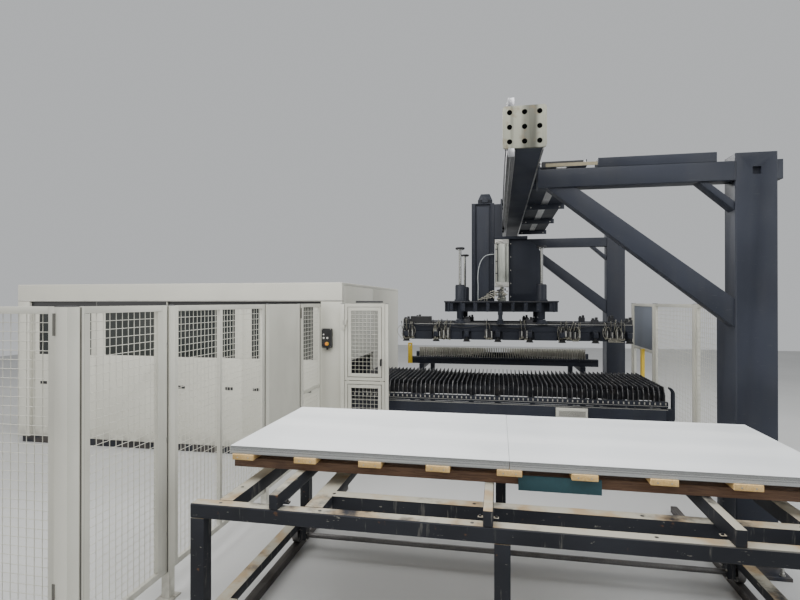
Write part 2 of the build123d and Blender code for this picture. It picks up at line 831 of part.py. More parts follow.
# Columns: box section with a deeper heel below, on a drilled base plate
column_x = (column_left_x, column_right_x)
plate_x = (column_left_x - base_plate_margin, column_right_x + base_plate_margin)
stub_x = (column_right_x, column_right_x + arm_stub)
with BuildPart() as near_column:
    block(column_x, (near_frame_y, near_frame_y + column_depth), (base_plate_thickness, column_top))
    block(column_x, (near_frame_y, near_frame_y + column_heel_depth), (base_plate_thickness, column_heel_top))
    chamfer(near_column.edges().filter_by(Axis.Z), 8)
    near_plate_y = around(near_frame_y + column_heel_depth / 2, base_plate_length)
    block(plate_x, near_plate_y, (0, base_plate_thickness))
    block(stub_x, (near_frame_y + 10, near_frame_y + arm_depth - 10), (arm_bottom, arm_top))
    with BuildSketch(Plane.XY) as near_anchors:
        with Locations((middle(*plate_x), middle(*near_plate_y))):
            with GridLocations(anchor_spacing_x, anchor_spacing_y, 2, 2):
                Circle(anchor_hole_radius)
    extrude(amount=base_plate_thickness, mode=Mode.SUBTRACT)
    with BuildSketch(Plane.XZ.offset(-near_frame_y)) as near_port:
        with Locations((column_port_x, column_port_z)):
            Rectangle(column_port_size, column_port_size)
    extrude(amount=-column_port_depth, mode=Mode.SUBTRACT)
near_column.part.label = "near_column"
export_step(near_column.part, "parts/near_column.step")

with BuildPart() as far_column:
    block(column_x, (far_frame_y, far_frame_y + column_depth), (base_plate_thickness, column_top))
    block(column_x, (far_frame_y, far_frame_y + column_heel_depth), (base_plate_thickness, column_heel_top))
    chamfer(far_column.edges().filter_by(Axis.Z), 8)
    far_plate_y = around(far_frame_y + column_heel_depth / 2, base_plate_length)
    block(plate_x, far_plate_y, (0, base_plate_thickness))
    block(stub_x, (far_frame_y + 10, far_frame_y + arm_depth - 10), (arm_bottom, arm_top))
    with BuildSketch(Plane.XY) as far_anchors:
        with Locations((middle(*plate_x), middle(*far_plate_y))):
            with GridLocations(anchor_spacing_x, anchor_spacing_y, 2, 2):
                Circle(anchor_hole_radius)
    extrude(amount=base_plate_thickness, mode=Mode.SUBTRACT)
far_column.part.label = "far_column"
export_step(far_column.part, "parts/far_column.step")

# Arms: horizontal beams from the columns to the runway, each with a hanger plate
with BuildPart() as arms:
    for frame_y in (near_frame_y, far_frame_y):
        block((runway_right_x, column_left_x), (frame_y, frame_y + arm_depth), (arm_bottom, arm_top))
        block((runway_right_x, runway_right_x + arm_hanger_thickness), (frame_y, frame_y + arm_depth),
              (arm_top, arm_top + arm_hanger_height))
arms.part.label = "arms"
export_step(arms.part, "parts/arms.step")

# Braces: the long diagonal and the knee of each frame
with BuildPart() as braces:
    for frame_y in (near_frame_y, far_frame_y):
        with BuildSketch(Plane.XZ.offset(-(frame_y + middle(0, arm_depth) + brace_depth / 2))) as brace_side:
            with BuildLine() as diagonal_outline:
                Polyline(
                    (brace_toe_x, arm_bottom),
                    (brace_heel_x, arm_bottom),
                    (column_left_x, brace_foot_high),
                    (column_left_x, brace_foot_low),
                    close=True,
                )
            make_face()
            with BuildLine() as knee_outline:
                Polyline(
                    (column_left_x - knee_reach, arm_bottom),
                    (column_left_x - knee_reach + knee_thickness, arm_bottom),
                    (column_left_x, arm_bottom - knee_drop + knee_thickness),
                    (column_left_x, arm_bottom - knee_drop),
                    close=True,
                )
            make_face()
        extrude(amount=brace_depth)
braces.part.label = "braces"
export_step(braces.part, "parts/braces.step")

# Runway beam: a closed box section between the gantry's arms
with BuildPart() as runway_beam:
    block((runway_left_x, runway_right_x), (runway_front_y, runway_back_y), (runway_bottom, runway_top))
    chamfer(runway_beam.edges().filter_by(Axis.Y), 8)
runway_beam.part.label = "runway_beam"
export_step(runway_beam.part, "parts/runway_beam.step")

# End plate: drilled plate with trimmed corners on the runway's near end
plate_front_y = runway_front_y - end_plate_thickness
plate_centre_x = end_plate_left_x + end_plate_width / 2
plate_centre_z = runway_bottom + end_plate_height / 2
with BuildPart() as end_plate:
    with BuildSketch(Plane.XZ.offset(-plate_front_y)) as plate_face:
        with Locations((plate_centre_x, plate_centre_z)):
            RectangleRounded(end_plate_width, end_plate_height, end_plate_corner)
            with GridLocations(end_plate_hole_pitch, end_plate_hole_pitch, 3, 3):
                Circle(end_plate_hole_radius, mode=Mode.SUBTRACT)
    extrude(amount=-end_plate_thickness)
end_plate.part.label = "end_plate"
export_step(end_plate.part, "parts/end_plate.step")

# Guide rails: rail plate on the runway's left side, two rails and the rack
rail_plate_x = (runway_left_x - rail_plate_thickness, runway_left_x)
rail_plate_z = around(middle(runway_bottom, runway_top), rail_plate_height)
rail_x = (rail_plate_x[0] - rail_height, rail_plate_x[0])
rail_rows = (rail_plate_z[0] + rail_inset, rail_plate_z[1] - rail_inset)
rack_z = around(rail_rows[0] + 75, rack_height)
with BuildPart() as guide_rails:
    block(rail_plate_x, (runway_front_y, runway_back_y), rail_plate_z)
    for row in rail_rows:
        block(rail_x, (runway_front_y, runway_back_y), around(row, rail_size))
    block((rail_plate_x[0] - rack_width, rail_plate_x[0]), (runway_front_y, runway_back_y), rack_z)
    for low, high in ((rail_plate_z[0], runway_bottom), (runway_top, rail_plate_z[1])):
        block((rail_plate_x[1] - rail_tab_width, rail_plate_x[1]), (plate_front_y, runway_front_y), (low, high))
guide_rails.part.label = "guide_rails"
export_step(guide_rails.part, "parts/guide_rails.step")

# Cable tray: long channel beside the runway on cross brackets, and the short tray on the near arm
bracket_places = [tray_bracket_first_y + index * tray_bracket_pitch for index in range(tray_bracket_count)]
with BuildPart() as cable_tray:
    block((tray_left_x, tray_right_x), (tray_front_y, tray_back_y), (tray_bottom, tray_bottom + tray_sheet))
    for side in ((tray_left_x, tray_left_x + tray_sheet), (tray_right_x - tray_sheet, tray_right_x)):
        block(side, (tray_front_y, tray_back_y), (tray_bottom, tray_bottom + tray_lip))
    for bracket_y in bracket_places:
        block((runway_right_x + seat_gap, tray_right_x + 20), around(bracket_y, tray_bracket_thickness),
              (tray_bottom - tray_bracket_height, tray_bottom))
    block((arm_tray_left_x, arm_tray_right_x), (near_frame_y, near_frame_y + arm_depth),
          (arm_top, arm_top + arm_tray_height))
cable_tray.part.label = "cable_tray"
export_step(cable_tray.part, "parts/cable_tray.step")

# Carriage: plate with guide blocks on the left rails, and a shelf below the runway
block_x = rail_x[0] - seat_gap
carriage_plate_x = (block_x - carriage_plate_thickness, block_x)
carriage_z = (carriage_plate_bottom, carriage_plate_bottom + carriage_plate_height)
block_places = (carriage_front_y + guide_block_length, carriage_back_y - guide_block_length)
with BuildPart() as carriage:
    block(carriage_plate_x, (carriage_front_y, carriage_back_y), carriage_z)
    for row in rail_rows:
        for block_y in block_places:
            for side in (-1, 1):
                low, high = sorted((row + side * (rail_size / 2 + seat_gap), row + side * (rail_size / 2 + 14)))
                block((block_x, rail_plate_x[0] - 2), around(block_y, guide_block_length), (low, high))
    block((mast_left_x + mast_width, carriage_shelf_right_x), (carriage_front_y, carriage_back_y),
          (carriage_plate_bottom, carriage_plate_bottom + carriage_shelf_thickness))
    block((mast_left_x + mast_width, carriage_plate_x[0]), (loader_front_y, loader_front_y + mast_depth),
          (carriage_plate_bottom, mast_top))
carriage.part.label = "carriage"
export_step(carriage.part, "parts/carriage.step")

# Left mast: box column with a sunk front panel between two flanges, a cap plate and the drive's gearbox
mast_x = (mast_left_x, mast_left_x + mast_width)
mast_y = (loader_front_y, loader_front_y + mast_depth)
motor_bottom = mast_top + mast_cap_thickness
with BuildPart() as left_mast:
    with BuildSketch(Plane.XY.offset(spider_top)) as mast_section:
        with BuildLine() as mast_outline:
            Polyline(
                (mast_x[0], mast_y[0]),
                (mast_x[0] + mast_flange, mast_y[0]),
                (mast_x[0] + mast_flange, mast_y[0] + mast_pocket),
                (mast_x[1] - mast_flange, mast_y[0] + mast_pocket),
                (mast_x[1] - mast_flange, mast_y[0]),
                (mast_x[1], mast_y[0]),
                (mast_x[1], mast_y[1]),
                (mast_x[0], mast_y[1]),
                close=True,
            )
        make_face()
    extrude(amount=mast_top - spider_top)
    block(mast_x, mast_y, (mast_top, motor_bottom))
    with BuildSketch(Plane.XY.offset(motor_bottom)) as motor_base:
        with Locations((mast_x[0] + 190, loader_front_y + 150)):
            Rectangle(motor_width, motor_depth)
    extrude(amount=motor_shoulder)
    with BuildSketch(Plane.XY.offset(motor_bottom + motor_shoulder)) as motor_low:
        with Locations((mast_x[0] + 190, loader_front_y + 150)):
            Rectangle(motor_width, motor_depth)
    with BuildSketch(Plane.XY.offset(motor_bottom + motor_height)) as motor_high:
        with Locations((mast_x[0] + 190, loader_front_y + 150)):
            Rectangle(motor_width - 70, motor_depth - 70)
    loft()
left_mast.part.label = "left_mast"
export_step(left_mast.part, "parts/left_mast.step")

# Right hood: tall cover with a large round shoulder that clears the gantry's brace
with BuildPart() as right_hood:
    with BuildSketch(Plane.XZ.offset(-loader_front_y - hood_depth)) as hood_face:
        with BuildLine() as hood_outline:
            Polyline(
                (hood_right_x, carriage_plate_bottom - hood_corner),
                (hood_right_x, spider_top),
                (hood_left_x, spider_top),
                (hood_left_x, carriage_plate_bottom),
                (hood_right_x - hood_corner, carriage_plate_bottom),
            )
            RadiusArc((hood_right_x - hood_corner, carriage_plate_bottom),
                      (hood_right_x, carriage_plate_bottom - hood_corner), hood_corner)
        make_face()
    extrude(amount=hood_depth)
right_hood.part.label = "right_hood"
export_step(right_hood.part, "parts/right_hood.step")

# Cylinder: profile barrel with end caps, and a knuckle joint down to the spider plate
cylinder_x = (cylinder_left_x, cylinder_left_x + cylinder_width)
cylinder_y = (carriage_front_y, carriage_front_y + cylinder_depth)
cylinder_centre = (middle(*cylinder_x), middle(*cylinder_y))
with BuildPart() as cylinder:
    with BuildSketch(Plane.XY.offset(cylinder_bottom)) as barrel_section:
        with Locations(cylinder_centre):
            Rectangle(cylinder_width, cylinder_depth)
            with Locations(*[(x, -cylinder_depth / 2) for x in around(0, cylinder_width / 2)]):
                Rectangle(cylinder_groove, 2 * cylinder_groove, mode=Mode.SUBTRACT)
    extrude(amount=carriage_plate_bottom - cylinder_bottom)
    with Locations((cylinder_centre[0], cylinder_centre[1], cylinder_bottom - cylinder_cap_height / 2)):
        Box(cylinder_width, cylinder_depth, cylinder_cap_height)
    with BuildSketch(Plane.XZ.offset(-cylinder_centre[1] - knuckle_width / 4)) as knuckle_face:
        with Locations((cylinder_centre[0], spider_top + knuckle_eye_radius + 30)):
            Circle(knuckle_eye_radius)
        block_low = spider_top + knuckle_eye_radius + 30
        with Locations((cylinder_centre[0], middle(block_low, cylinder_bottom - cylinder_cap_height))):
            Rectangle(knuckle_eye_radius, cylinder_bottom - cylinder_cap_height - block_low)
        with Locations((cylinder_centre[0], spider_top + knuckle_eye_radius / 2)):
            Rectangle(knuckle_width, knuckle_eye_radius)
    extrude(amount=knuckle_width / 2)
    with BuildSketch(Plane.XZ.offset(-cylinder_centre[1] - knuckle_width / 2)) as knuckle_pin:
        with Locations((cylinder_centre[0], spider_top + knuckle_eye_radius + 30)):
            Circle(knuckle_pin_radius)
    extrude(amount=knuckle_width)
    with Locations(Location((cylinder_x[0] - fitting_length / 2, *air_hose_route[0][1:]), (0, 90, 0))):
        Cylinder(fitting_radius, fitting_length)
cylinder.part.label = "cylinder"
export_step(cylinder.part, "parts/cylinder.step")

# Spider plate: ribbed platform below the masts, with bored housings for the guide rods
spider_x = around(lane_x, spider_width)
spider_y = (spider_front_y, spider_front_y + spider_depth)
spider_bottom = spider_top - spider_height
with BuildPart() as spider_plate:
    block(spider_x, spider_y, (spider_top - spider_skin, spider_top))
    for rib_x in spread(spider_x[0] + 60, spider_x[1] - 60, spider_rib_count):
        block(around(rib_x, spider_rib), spider_y, (spider_bottom, spider_top - spider_skin))
    for rib_y in (spider_y[0] + 120, middle(*spider_y), spider_y[1] - 120):
        block(spider_x, around(rib_y, spider_rib), (spider_bottom, spider_top - spider_skin))
    with BuildSketch(Plane.XY.offset(spider_top)) as upper_housings:
        with Locations(*rod_places):
            Circle(housing_radius)
    extrude(amount=housing_height)
    with BuildSketch(Plane.XY.offset(spider_bottom - lower_housing_height)) as lower_housings:
        with Locations(*rod_places):
            Circle(lower_housing_radius)
    extrude(amount=lower_housing_height + spider_height - spider_skin)
    with Locations((*air_hose_route[-1][:2], spider_top + fitting_length / 2)):
        Cylinder(fitting_radius, fitting_length)
    with BuildSketch(Plane.XY.offset(spider_bottom - lower_housing_height)) as rod_bores:
        with Locations(*rod_places):
            Circle(rod_radius + seat_gap)
    extrude(amount=lower_housing_height + spider_height + housing_height, mode=Mode.SUBTRACT)
spider_plate.part.label = "spider_plate"
export_step(spider_plate.part, "parts/spider_plate.step")

# Guide rods: four ground rods with disc heads, fixed to the vacuum frame
with BuildPart() as guide_rods:
    with BuildSketch(Plane.XY.offset(vacuum_beam_top)) as rod_section:
        with Locations(*rod_places):
            Circle(rod_radius)
    extrude(amount=rod_top - vacuum_beam_top)
    with BuildSketch(Plane.XY.offset(rod_top)) as rod_heads:
        with Locations(*rod_places):
            Circle(rod_disc_radius)
    extrude(amount=rod_disc_height)
guide_rods.part.label = "guide_rods"
export_step(guide_rods.part, "parts/guide_rods.step")

# Vacuum frame: three long beams and cross arms under them
vacuum_x = (vacuum_left_x, vacuum_right_x)
beam_rows = (rod_front_y, middle(rod_front_y, rod_back_y), rod_back_y)
vacuum_z = (vacuum_beam_top - vacuum_beam_height, vacuum_beam_top)
arm_places = spread(vacuum_x[0] + cup_radius, vacuum_x[1] - cup_radius, cross_arm_count)
arm_z = (vacuum_z[0] - cross_arm_height, vacuum_z[0])
arm_y = (rod_front_y - vacuum_beam_depth / 2 - cross_arm_overhang,
         rod_back_y + vacuum_beam_depth / 2 + cross_arm_overhang)
with BuildPart() as vacuum_frame:
    for row in beam_rows:
        block(vacuum_x, around(row, vacuum_beam_depth), vacuum_z)
    for arm_x in arm_places:
        block(around(arm_x, cross_arm_width), arm_y, (arm_z[0], arm_z[1] - seat_gap))
vacuum_frame.part.label = "vacuum_frame"
export_step(vacuum_frame.part, "parts/vacuum_frame.step")

# Suction cups: a stem and a flared cup under each cross arm
cup_rows = spread(arm_y[0] + cup_radius, arm_y[1] - cup_radius, cup_row_count)
cup_places = [(x, y) for x in arm_places for y in cup_rows]
cup_top = arm_z[0] - cup_stem_height
with BuildPart() as suction_cups:
    with BuildSketch(Plane.XY.offset(cup_top)) as cup_stems:
        with Locations(*cup_places):
            RegularPolygon(cup_stem_radius, 8)
    extrude(amount=cup_stem_height)
    with BuildSketch(Plane.XY.offset(cup_top)) as cup_necks:
        with Locations(*cup_places):
            RegularPolygon(cup_radius, 16)
    extrude(amount=-cup_height, taper=-20)
suction_cups.part.label = "suction_cups"
export_step(suction_cups.part, "parts/suction_cups.step")

# Vacuum valves: housings on the front and back beams
valve_places = [(x, y) for x in arm_places[::2] + arm_places[-1:] for y in (beam_rows[0], beam_rows[2])]
with BuildPart() as vacuum_valves:
    for valve_x, valve_y in valve_places:
        block(around(valve_x, valve_width), around(valve_y, valve_depth),
              (vacuum_beam_top, vacuum_beam_top + valve_height))
    for hose_end in (vacuum_hose_route[0], vacuum_hose_route[-1]):
        with Locations(Location((hose_end[0], hose_end[1] + fitting_length / 2, hose_end[2]), (90, 0, 0))):
            Cylinder(fitting_radius, fitting_length)
vacuum_valves.part.label = "vacuum_valves"
export_step(vacuum_valves.part, "parts/vacuum_valves.step")

# Hoses: one from the cylinder down to the spider plate, one looped along the front vacuum beam
with BuildPart() as air_hose:
    with BuildLine() as air_hose_line:
        FilletPolyline(*air_hose_route, radius=hose_arcs(air_hose_route))
    with BuildSketch(Plane(origin=air_hose_line.line @ 0, z_dir=air_hose_line.line % 0)) as air_hose_section:
        Circle(air_hose_radius)
    sweep()
air_hose.part.label = "air_hose"
export_step(air_hose.part, "parts/air_hose.step")

with BuildPart() as vacuum_hose:
    with BuildLine() as vacuum_hose_line:
        FilletPolyline(*vacuum_hose_route, radius=hose_arcs(vacuum_hose_route))
    with BuildSketch(Plane(origin=vacuum_hose_line.line @ 0, z_dir=vacuum_hose_line.line % 0)) as vacuum_hose_section:
        Circle(vacuum_hose_radius)
    sweep()
vacuum_hose.part.label = "vacuum_hose"
export_step(vacuum_hose.part, "parts/vacuum_hose.step")

# Material cart: top frame, legs, base frame and the bearings of its wheelsets
cart_x = around(lane_x - 10, cart_length)
cart_y = (cart_front_y, cart_front_y + cart_depth)
cart_rail_z = (cart_top - cart_tube, cart_top)
cart_leg_x = (cart_x[0] + cart_tube / 2, middle(*cart_x), cart_x[1] - cart_tube / 2)
front_tube = (cart_y[0], cart_y[0] + cart_tube)
back_tube = (cart_y[1] - cart_tube, cart_y[1])
inner_y = (front_tube[1] + seat_gap, back_tube[0] - seat_gap)
base_z = (cart_base_bottom, cart_base_bottom + cart_base_height)
left_rail_x = (cart_x[0] + cart_long_rail_inset, cart_x[0] + cart_long_rail_inset + cart_tube)
right_rail_x = (cart_x[1] - cart_long_rail_inset - cart_tube, cart_x[1] - cart_long_rail_inset)
channel_span = around(channel_x, channel_width)
axle_z = floor_rail_height + seat_gap + wheel_radius
axle_rows = (cart_y[0] + wheel_inset, cart_y[1] - wheel_inset)
with BuildPart() as cart_frame:
    for tube in (front_tube, back_tube):
        block(cart_x, tube, cart_rail_z)
        for leg_x in cart_leg_x:
            block(around(leg_x, cart_tube), tube, (base_z[1] + seat_gap, cart_rail_z[0] - seat_gap))
        block((cart_x[0] + cart_tube + seat_gap, cart_x[1] - cart_tube - seat_gap), tube, base_z)
    for rail in (left_rail_x, right_rail_x):
        block(rail, inner_y, cart_rail_z)
    block(channel_span, inner_y, (cart_top - channel_height, cart_top))
    block((channel_span[1] + seat_gap, right_rail_x[0] - seat_gap), (second_rail_y, second_rail_y + cart_tube),
          cart_rail_z)
    for side, leg_x in ((1, cart_leg_x[0]), (-1, cart_leg_x[2])):
        block(around(leg_x, cart_tube), cart_y, base_z)
        face_x = leg_x + side * (cart_tube / 2 + seat_gap)
        for axle_y in axle_rows:
            with Locations((face_x + side * bearing_thickness / 2, axle_y, base_z[1] - bearing_height / 2)):
                Box(bearing_thickness, 2 * bearing_thickness, bearing_height)
    chamfer(cart_frame.edges().filter_by(Axis.X).group_by(SortBy.LENGTH)[-1], 6)
    with BuildSketch(Plane.YZ.offset(cart_x[0])) as axle_bores:
        with Locations(*[(axle_y, axle_z) for axle_y in axle_rows]):
            Circle(axle_radius + seat_gap)
    extrude(amount=cart_length, mode=Mode.SUBTRACT)
cart_frame.part.label = "cart_frame"
export_step(cart_frame.part, "parts/cart_frame.step")

# Bearers: three tubes across the cart with side clips
bearer_places = [middle(*cart_x) + bearer_shift + index * bearer_pitch for index in (-1, 0, 1)]
bearer_z = (cart_top, cart_top + bearer_height)
with BuildPart() as cart_bearers:
    for bearer_x in bearer_places:
        block(around(bearer_x, bearer_width), cart_y, bearer_z)
        for clip_y in (front_tube[1] + 20, back_tube[0] - 20):
            block(around(bearer_x, bearer_width + 60), around(clip_y, 30), (cart_top, cart_top + 12))
cart_bearers.part.label = "cart_bearers"
export_step(cart_bearers.part, "parts/cart_bearers.step")

# Wheelsets: two wheels on one cross shaft, front and back
wheel_places = (cart_leg_x[0], cart_leg_x[2])
with BuildPart() as front_wheelset:
    with BuildSketch(Plane.YZ.offset(wheel_places[0] - wheel_width / 2)) as front_wheels:
        with Locations((axle_rows[0], axle_z)):
            Circle(wheel_radius)
    extrude(amount=wheel_width)
    with BuildSketch(Plane.YZ.offset(wheel_places[1] - wheel_width / 2)) as front_far_wheel:
        with Locations((axle_rows[0], axle_z)):
            Circle(wheel_radius)
    extrude(amount=wheel_width)
    with BuildSketch(Plane.YZ.offset(wheel_places[0])) as front_shaft:
        with Locations((axle_rows[0], axle_z)):
            Circle(axle_radius)
    extrude(amount=wheel_places[1] - wheel_places[0])
front_wheelset.part.label = "front_wheelset"
export_step(front_wheelset.part, "parts/front_wheelset.step")

with BuildPart() as back_wheelset:
    with BuildSketch(Plane.YZ.offset(wheel_places[0] - wheel_width / 2)) as back_wheels:
        with Locations((axle_rows[1], axle_z)):
            Circle(wheel_radius)
    extrude(amount=wheel_width)
    with BuildSketch(Plane.YZ.offset(wheel_places[1] - wheel_width / 2)) as back_far_wheel:
        with Locations((axle_rows[1], axle_z)):
            Circle(wheel_radius)
    extrude(amount=wheel_width)
    with BuildSketch(Plane.YZ.offset(wheel_places[0])) as back_shaft:
        with Locations((axle_rows[1], axle_z)):
            Circle(axle_radius)
    extrude(amount=wheel_places[1] - wheel_places[0])
back_wheelset.part.label = "back_wheelset"
export_step(back_wheelset.part, "parts/back_wheelset.step")

# Floor rails under the cart's wheels
with BuildPart() as floor_rails:
    for rail_centre in wheel_places:
        block(around(rail_centre, floor_rail_width), (floor_rail_front_y, floor_rail_back_y),
              (0, floor_rail_height))
floor_rails.part.label = "floor_rails"
export_step(floor_rails.part, "parts/floor_rails.step")

# Stock beams: timber runners across the bearers
stock_x = (stock_left_x, stock_right_x)
stock_y = (stock_front_y, stock_front_y + stock_depth)
beam_bottom = cart_top + bearer_height
beam_span = (stock_x[0] + 10, stock_x[1] - 10)
stock_beam_z = (beam_bottom, beam_bottom + stock_beam_height)
front_beam_y = stock_y[0] + stock_beam_setback
with BuildPart() as stock_beams:
    for beam_y in (front_beam_y, middle(*stock_y) - stock_beam_width / 2,
                   stock_y[1] - stock_beam_setback - stock_beam_width):
        block(beam_span, (beam_y, beam_y + stock_beam_width), stock_beam_z)
stock_beams.part.label = "stock_beams"
export_step(stock_beams.part, "parts/stock_beams.step")

# Battens: pale boards under the sheets
batten_half_span = batten_pitch * (batten_count - 1) / 2
batten_z = (stock_beam_z[1], stock_beam_z[1] + batten_height)
with BuildPart() as battens:
    for batten_x in spread(middle(*stock_x) - batten_half_span, middle(*stock_x) + batten_half_span,
                           batten_count):
        block(around(batten_x, batten_width), (stock_y[0] - batten_overhang, stock_y[1] + batten_overhang),
              batten_z)
battens.part.label = "battens"
export_step(battens.part, "parts/battens.step")

# Sheet stacks: two packs side by side
stack_z = (batten_z[1], batten_z[1] + sheet_stack_height)
stack_length = (stock_length - stack_seam * (stack_count - 1)) / stack_count
with BuildPart() as sheet_stacks:
    for index in range(stack_count):
        stack_left = stock_x[0] + index * (stack_length + stack_seam)
        block((stack_left, stack_left + stack_length), stock_y, stack_z)
sheet_stacks.part.label = "sheet_stacks"
export_step(sheet_stacks.part, "parts/sheet_stacks.step")

# Stock board: a plain board on the front timber
with BuildPart() as stock_board:
    block((board_left_x, board_left_x + board_width), (front_beam_y - board_thickness, front_beam_y),
          (stock_beam_z[1] - board_height, stock_beam_z[1]))
stock_board.part.label = "stock_board"
export_step(stock_board.part, "parts/stock_board.step")

# Fence frames: square posts on floor plates with the lower hinge halves, and tube frames between them
fence_z = (fence_clearance, fence_height)
hinge_places = (hinge_low_z, hinge_high_z)
corner_post_y = front_fence_y
front_end_x = left_fence_x - post_size - front_panel_length
door_hinge_y = left_post_y[-1] + post_size / 2
door_hinge_x = left_fence_x - post_size / 2 - hinge_radius - hinge_standoff
gate_stop_x = (gate_free_x + gate_closing_gap, gate_free_x + gate_closing_gap + gate_stop_width)
gate_hinge_x = gate_post_x + gate_post_width / 2
gate_hinge_y = gate_plane_y - gate_post_width / 2 - hinge_radius - hinge_standoff
post_spots = [(front_end_x, front_fence_y)]
post_spots += [(left_fence_x, y) for y in left_post_y]
post_spots += [(right_fence_x, y) for y in right_post_y]
panel_spans = [
    (corner_post_y + corner_post_size / 2 + seat_gap, left_post_y[0] - post_size / 2 - seat_gap),
    (left_post_y[0] + post_size / 2 + seat_gap, left_post_y[1] - post_size / 2 - seat_gap),
]
right_spans = [(low + post_size / 2 + seat_gap, high - post_size / 2 - seat_gap)
               for low, high in zip(right_post_y[:-1], right_post_y[1:])]
front_span = (front_end_x + post_size / 2 + seat_gap, left_fence_x - corner_post_size / 2 - seat_gap)
left_plane = around(left_fence_x, frame_thickness)
right_plane = around(right_fence_x, frame_thickness)
front_plane = around(front_fence_y, frame_thickness)
rail_rows_z = ((fence_z[0], fence_z[0] + frame_width), (fence_z[1] - frame_width, fence_z[1]))
with BuildPart() as fence_frames:
    for post_x, post_y in post_spots:
        block(around(post_x, post_size), around(post_y, post_size), (0, fence_height))
        block(around(post_x, post_size if post_x == right_fence_x else post_foot_size),
              around(post_y, post_size if post_y == front_fence_y else post_foot_size),
              (0, post_foot_thickness))
    block(around(left_fence_x, corner_post_size), around(corner_post_y, corner_post_size), (0, fence_height))
    block(around(left_fence_x, post_foot_size), around(corner_post_y, post_foot_size), (0, post_foot_thickness))
    block(around(gate_post_x, gate_post_width), around(gate_plane_y, gate_post_width), (0, fence_height))
    block(gate_stop_x, around(gate_plane_y, gate_stop_width), (0, fence_height))
    block(around(middle(*gate_stop_x), post_foot_size), around(gate_plane_y, post_foot_size),
          (0, post_foot_thickness))
    for hinge_z in hinge_places:
        with Locations((door_hinge_x, door_hinge_y, hinge_z - hinge_length / 2)):
            Cylinder(hinge_radius, hinge_length)
        block((door_hinge_x, left_fence_x), (door_hinge_y - post_size / 2, door_hinge_y - 2),
              (hinge_z - hinge_length, hinge_z))
        with Locations((gate_hinge_x, gate_hinge_y, hinge_z - hinge_length / 2)):
            Cylinder(hinge_radius, hinge_length)
        block((gate_hinge_x - post_size / 2, gate_hinge_x - 2), (gate_hinge_y, gate_plane_y),
              (hinge_z - hinge_length, hinge_z))
    for plane, span, stile in ([(left_plane, span, stile_width) for span in panel_spans]
                               + [(right_plane, span, frame_width) for span in right_spans]):
        for edge in ((span[0], span[0] + stile), (span[1] - stile, span[1])):
            block(plane, edge, fence_z)
        for row in rail_rows_z:
            block(plane, (span[0] + stile + seat_gap, span[1] - stile - seat_gap), row)
    block(left_plane, around(left_mullion_y, frame_width),
          (rail_rows_z[0][1] + seat_gap, rail_rows_z[1][0] - seat_gap))
    block(right_plane, (right_spans[2][0] + frame_width + seat_gap, right_spans[2][1] - frame_width - seat_gap),
          (grey_panel_bottom - frame_width, grey_panel_bottom))
    for edge in ((front_span[0], front_span[0] + stile_width), (front_span[1] - stile_width, front_span[1])):
        block(edge, front_plane, fence_z)
    for row in rail_rows_z:
        block((front_span[0] + stile_width + seat_gap, front_span[1] - stile_width - seat_gap), front_plane, row)
fence_frames.part.label = "fence_frames"
export_step(fence_frames.part, "parts/fence_frames.step")

# Meshes: a layer of upright wires and a layer of level wires in each frame
wire_z = (rail_rows_z[0][1] + seat_gap, rail_rows_z[1][0] - seat_gap)
level_wires = inner_places(*wire_z, wire_pitch)
upright_layer = (seat_gap / 2, seat_gap / 2 + wire_size)
level_layer = (-seat_gap / 2 - wire_size, -seat_gap / 2)
left_openings = [
    (panel_spans[0][0] + stile_width + seat_gap, panel_spans[0][1] - stile_width - seat_gap),
    (panel_spans[1][0] + stile_width + seat_gap, left_mullion_y - frame_width / 2 - seat_gap),
    (left_mullion_y + frame_width / 2 + seat_gap, panel_spans[1][1] - stile_width - seat_gap),
]
with BuildPart() as left_mesh:
    for opening in left_openings:
        for wire_y in inner_places(*opening, wire_pitch):
            block((left_fence_x + upright_layer[0], left_fence_x + upright_layer[1]),
                  around(wire_y, wire_size), wire_z)
        for wire_row in level_wires:
            block((left_fence_x + level_layer[0], left_fence_x + level_layer[1]), opening,
                  around(wire_row, wire_size))
left_mesh.part.label = "left_mesh"
export_step(left_mesh.part, "parts/left_mesh.step")

right_openings = [(span[0] + frame_width + seat_gap, span[1] - frame_width - seat_gap)
                  for span in right_spans[:2]]
with BuildPart() as right_mesh:
    for opening in right_openings:
        for wire_y in inner_places(*opening, wire_pitch):
            block((right_fence_x + upright_layer[0], right_fence_x + upright_layer[1]),
                  around(wire_y, wire_size), wire_z)
        for wire_row in level_wires:
            block((right_fence_x + level_layer[0], right_fence_x + level_layer[1]), opening,
                  around(wire_row, wire_size))
right_mesh.part.label = "right_mesh"
export_step(right_mesh.part, "parts/right_mesh.step")

front_opening = (front_span[0] + stile_width + seat_gap, front_span[1] - stile_width - seat_gap)
with BuildPart() as front_mesh:
    for wire_x in inner_places(*front_opening, wire_pitch):
        block(around(wire_x, wire_size), (front_fence_y + upright_layer[0], front_fence_y + upright_layer[1]),
              wire_z)
    for wire_row in level_wires:
        block(front_opening, (front_fence_y + level_layer[0], front_fence_y + level_layer[1]),
              around(wire_row, wire_size))
front_mesh.part.label = "front_mesh"
export_step(front_mesh.part, "parts/front_mesh.step")

# Solid panel: sheet-filled frame next to the narrow door
solid_span = (left_post_y[1] + post_size / 2 + seat_gap, left_post_y[2] - post_size / 2 - seat_gap)
with BuildPart() as solid_panel:
    block(around(left_fence_x, solid_sheet_thickness), solid_span, fence_z)
    for edge in ((solid_span[0], solid_span[0] + frame_width), (solid_span[1] - frame_width, solid_span[1])):
        block(left_plane, edge, fence_z)
solid_panel.part.label = "solid_panel"
export_step(solid_panel.part, "parts/solid_panel.step")

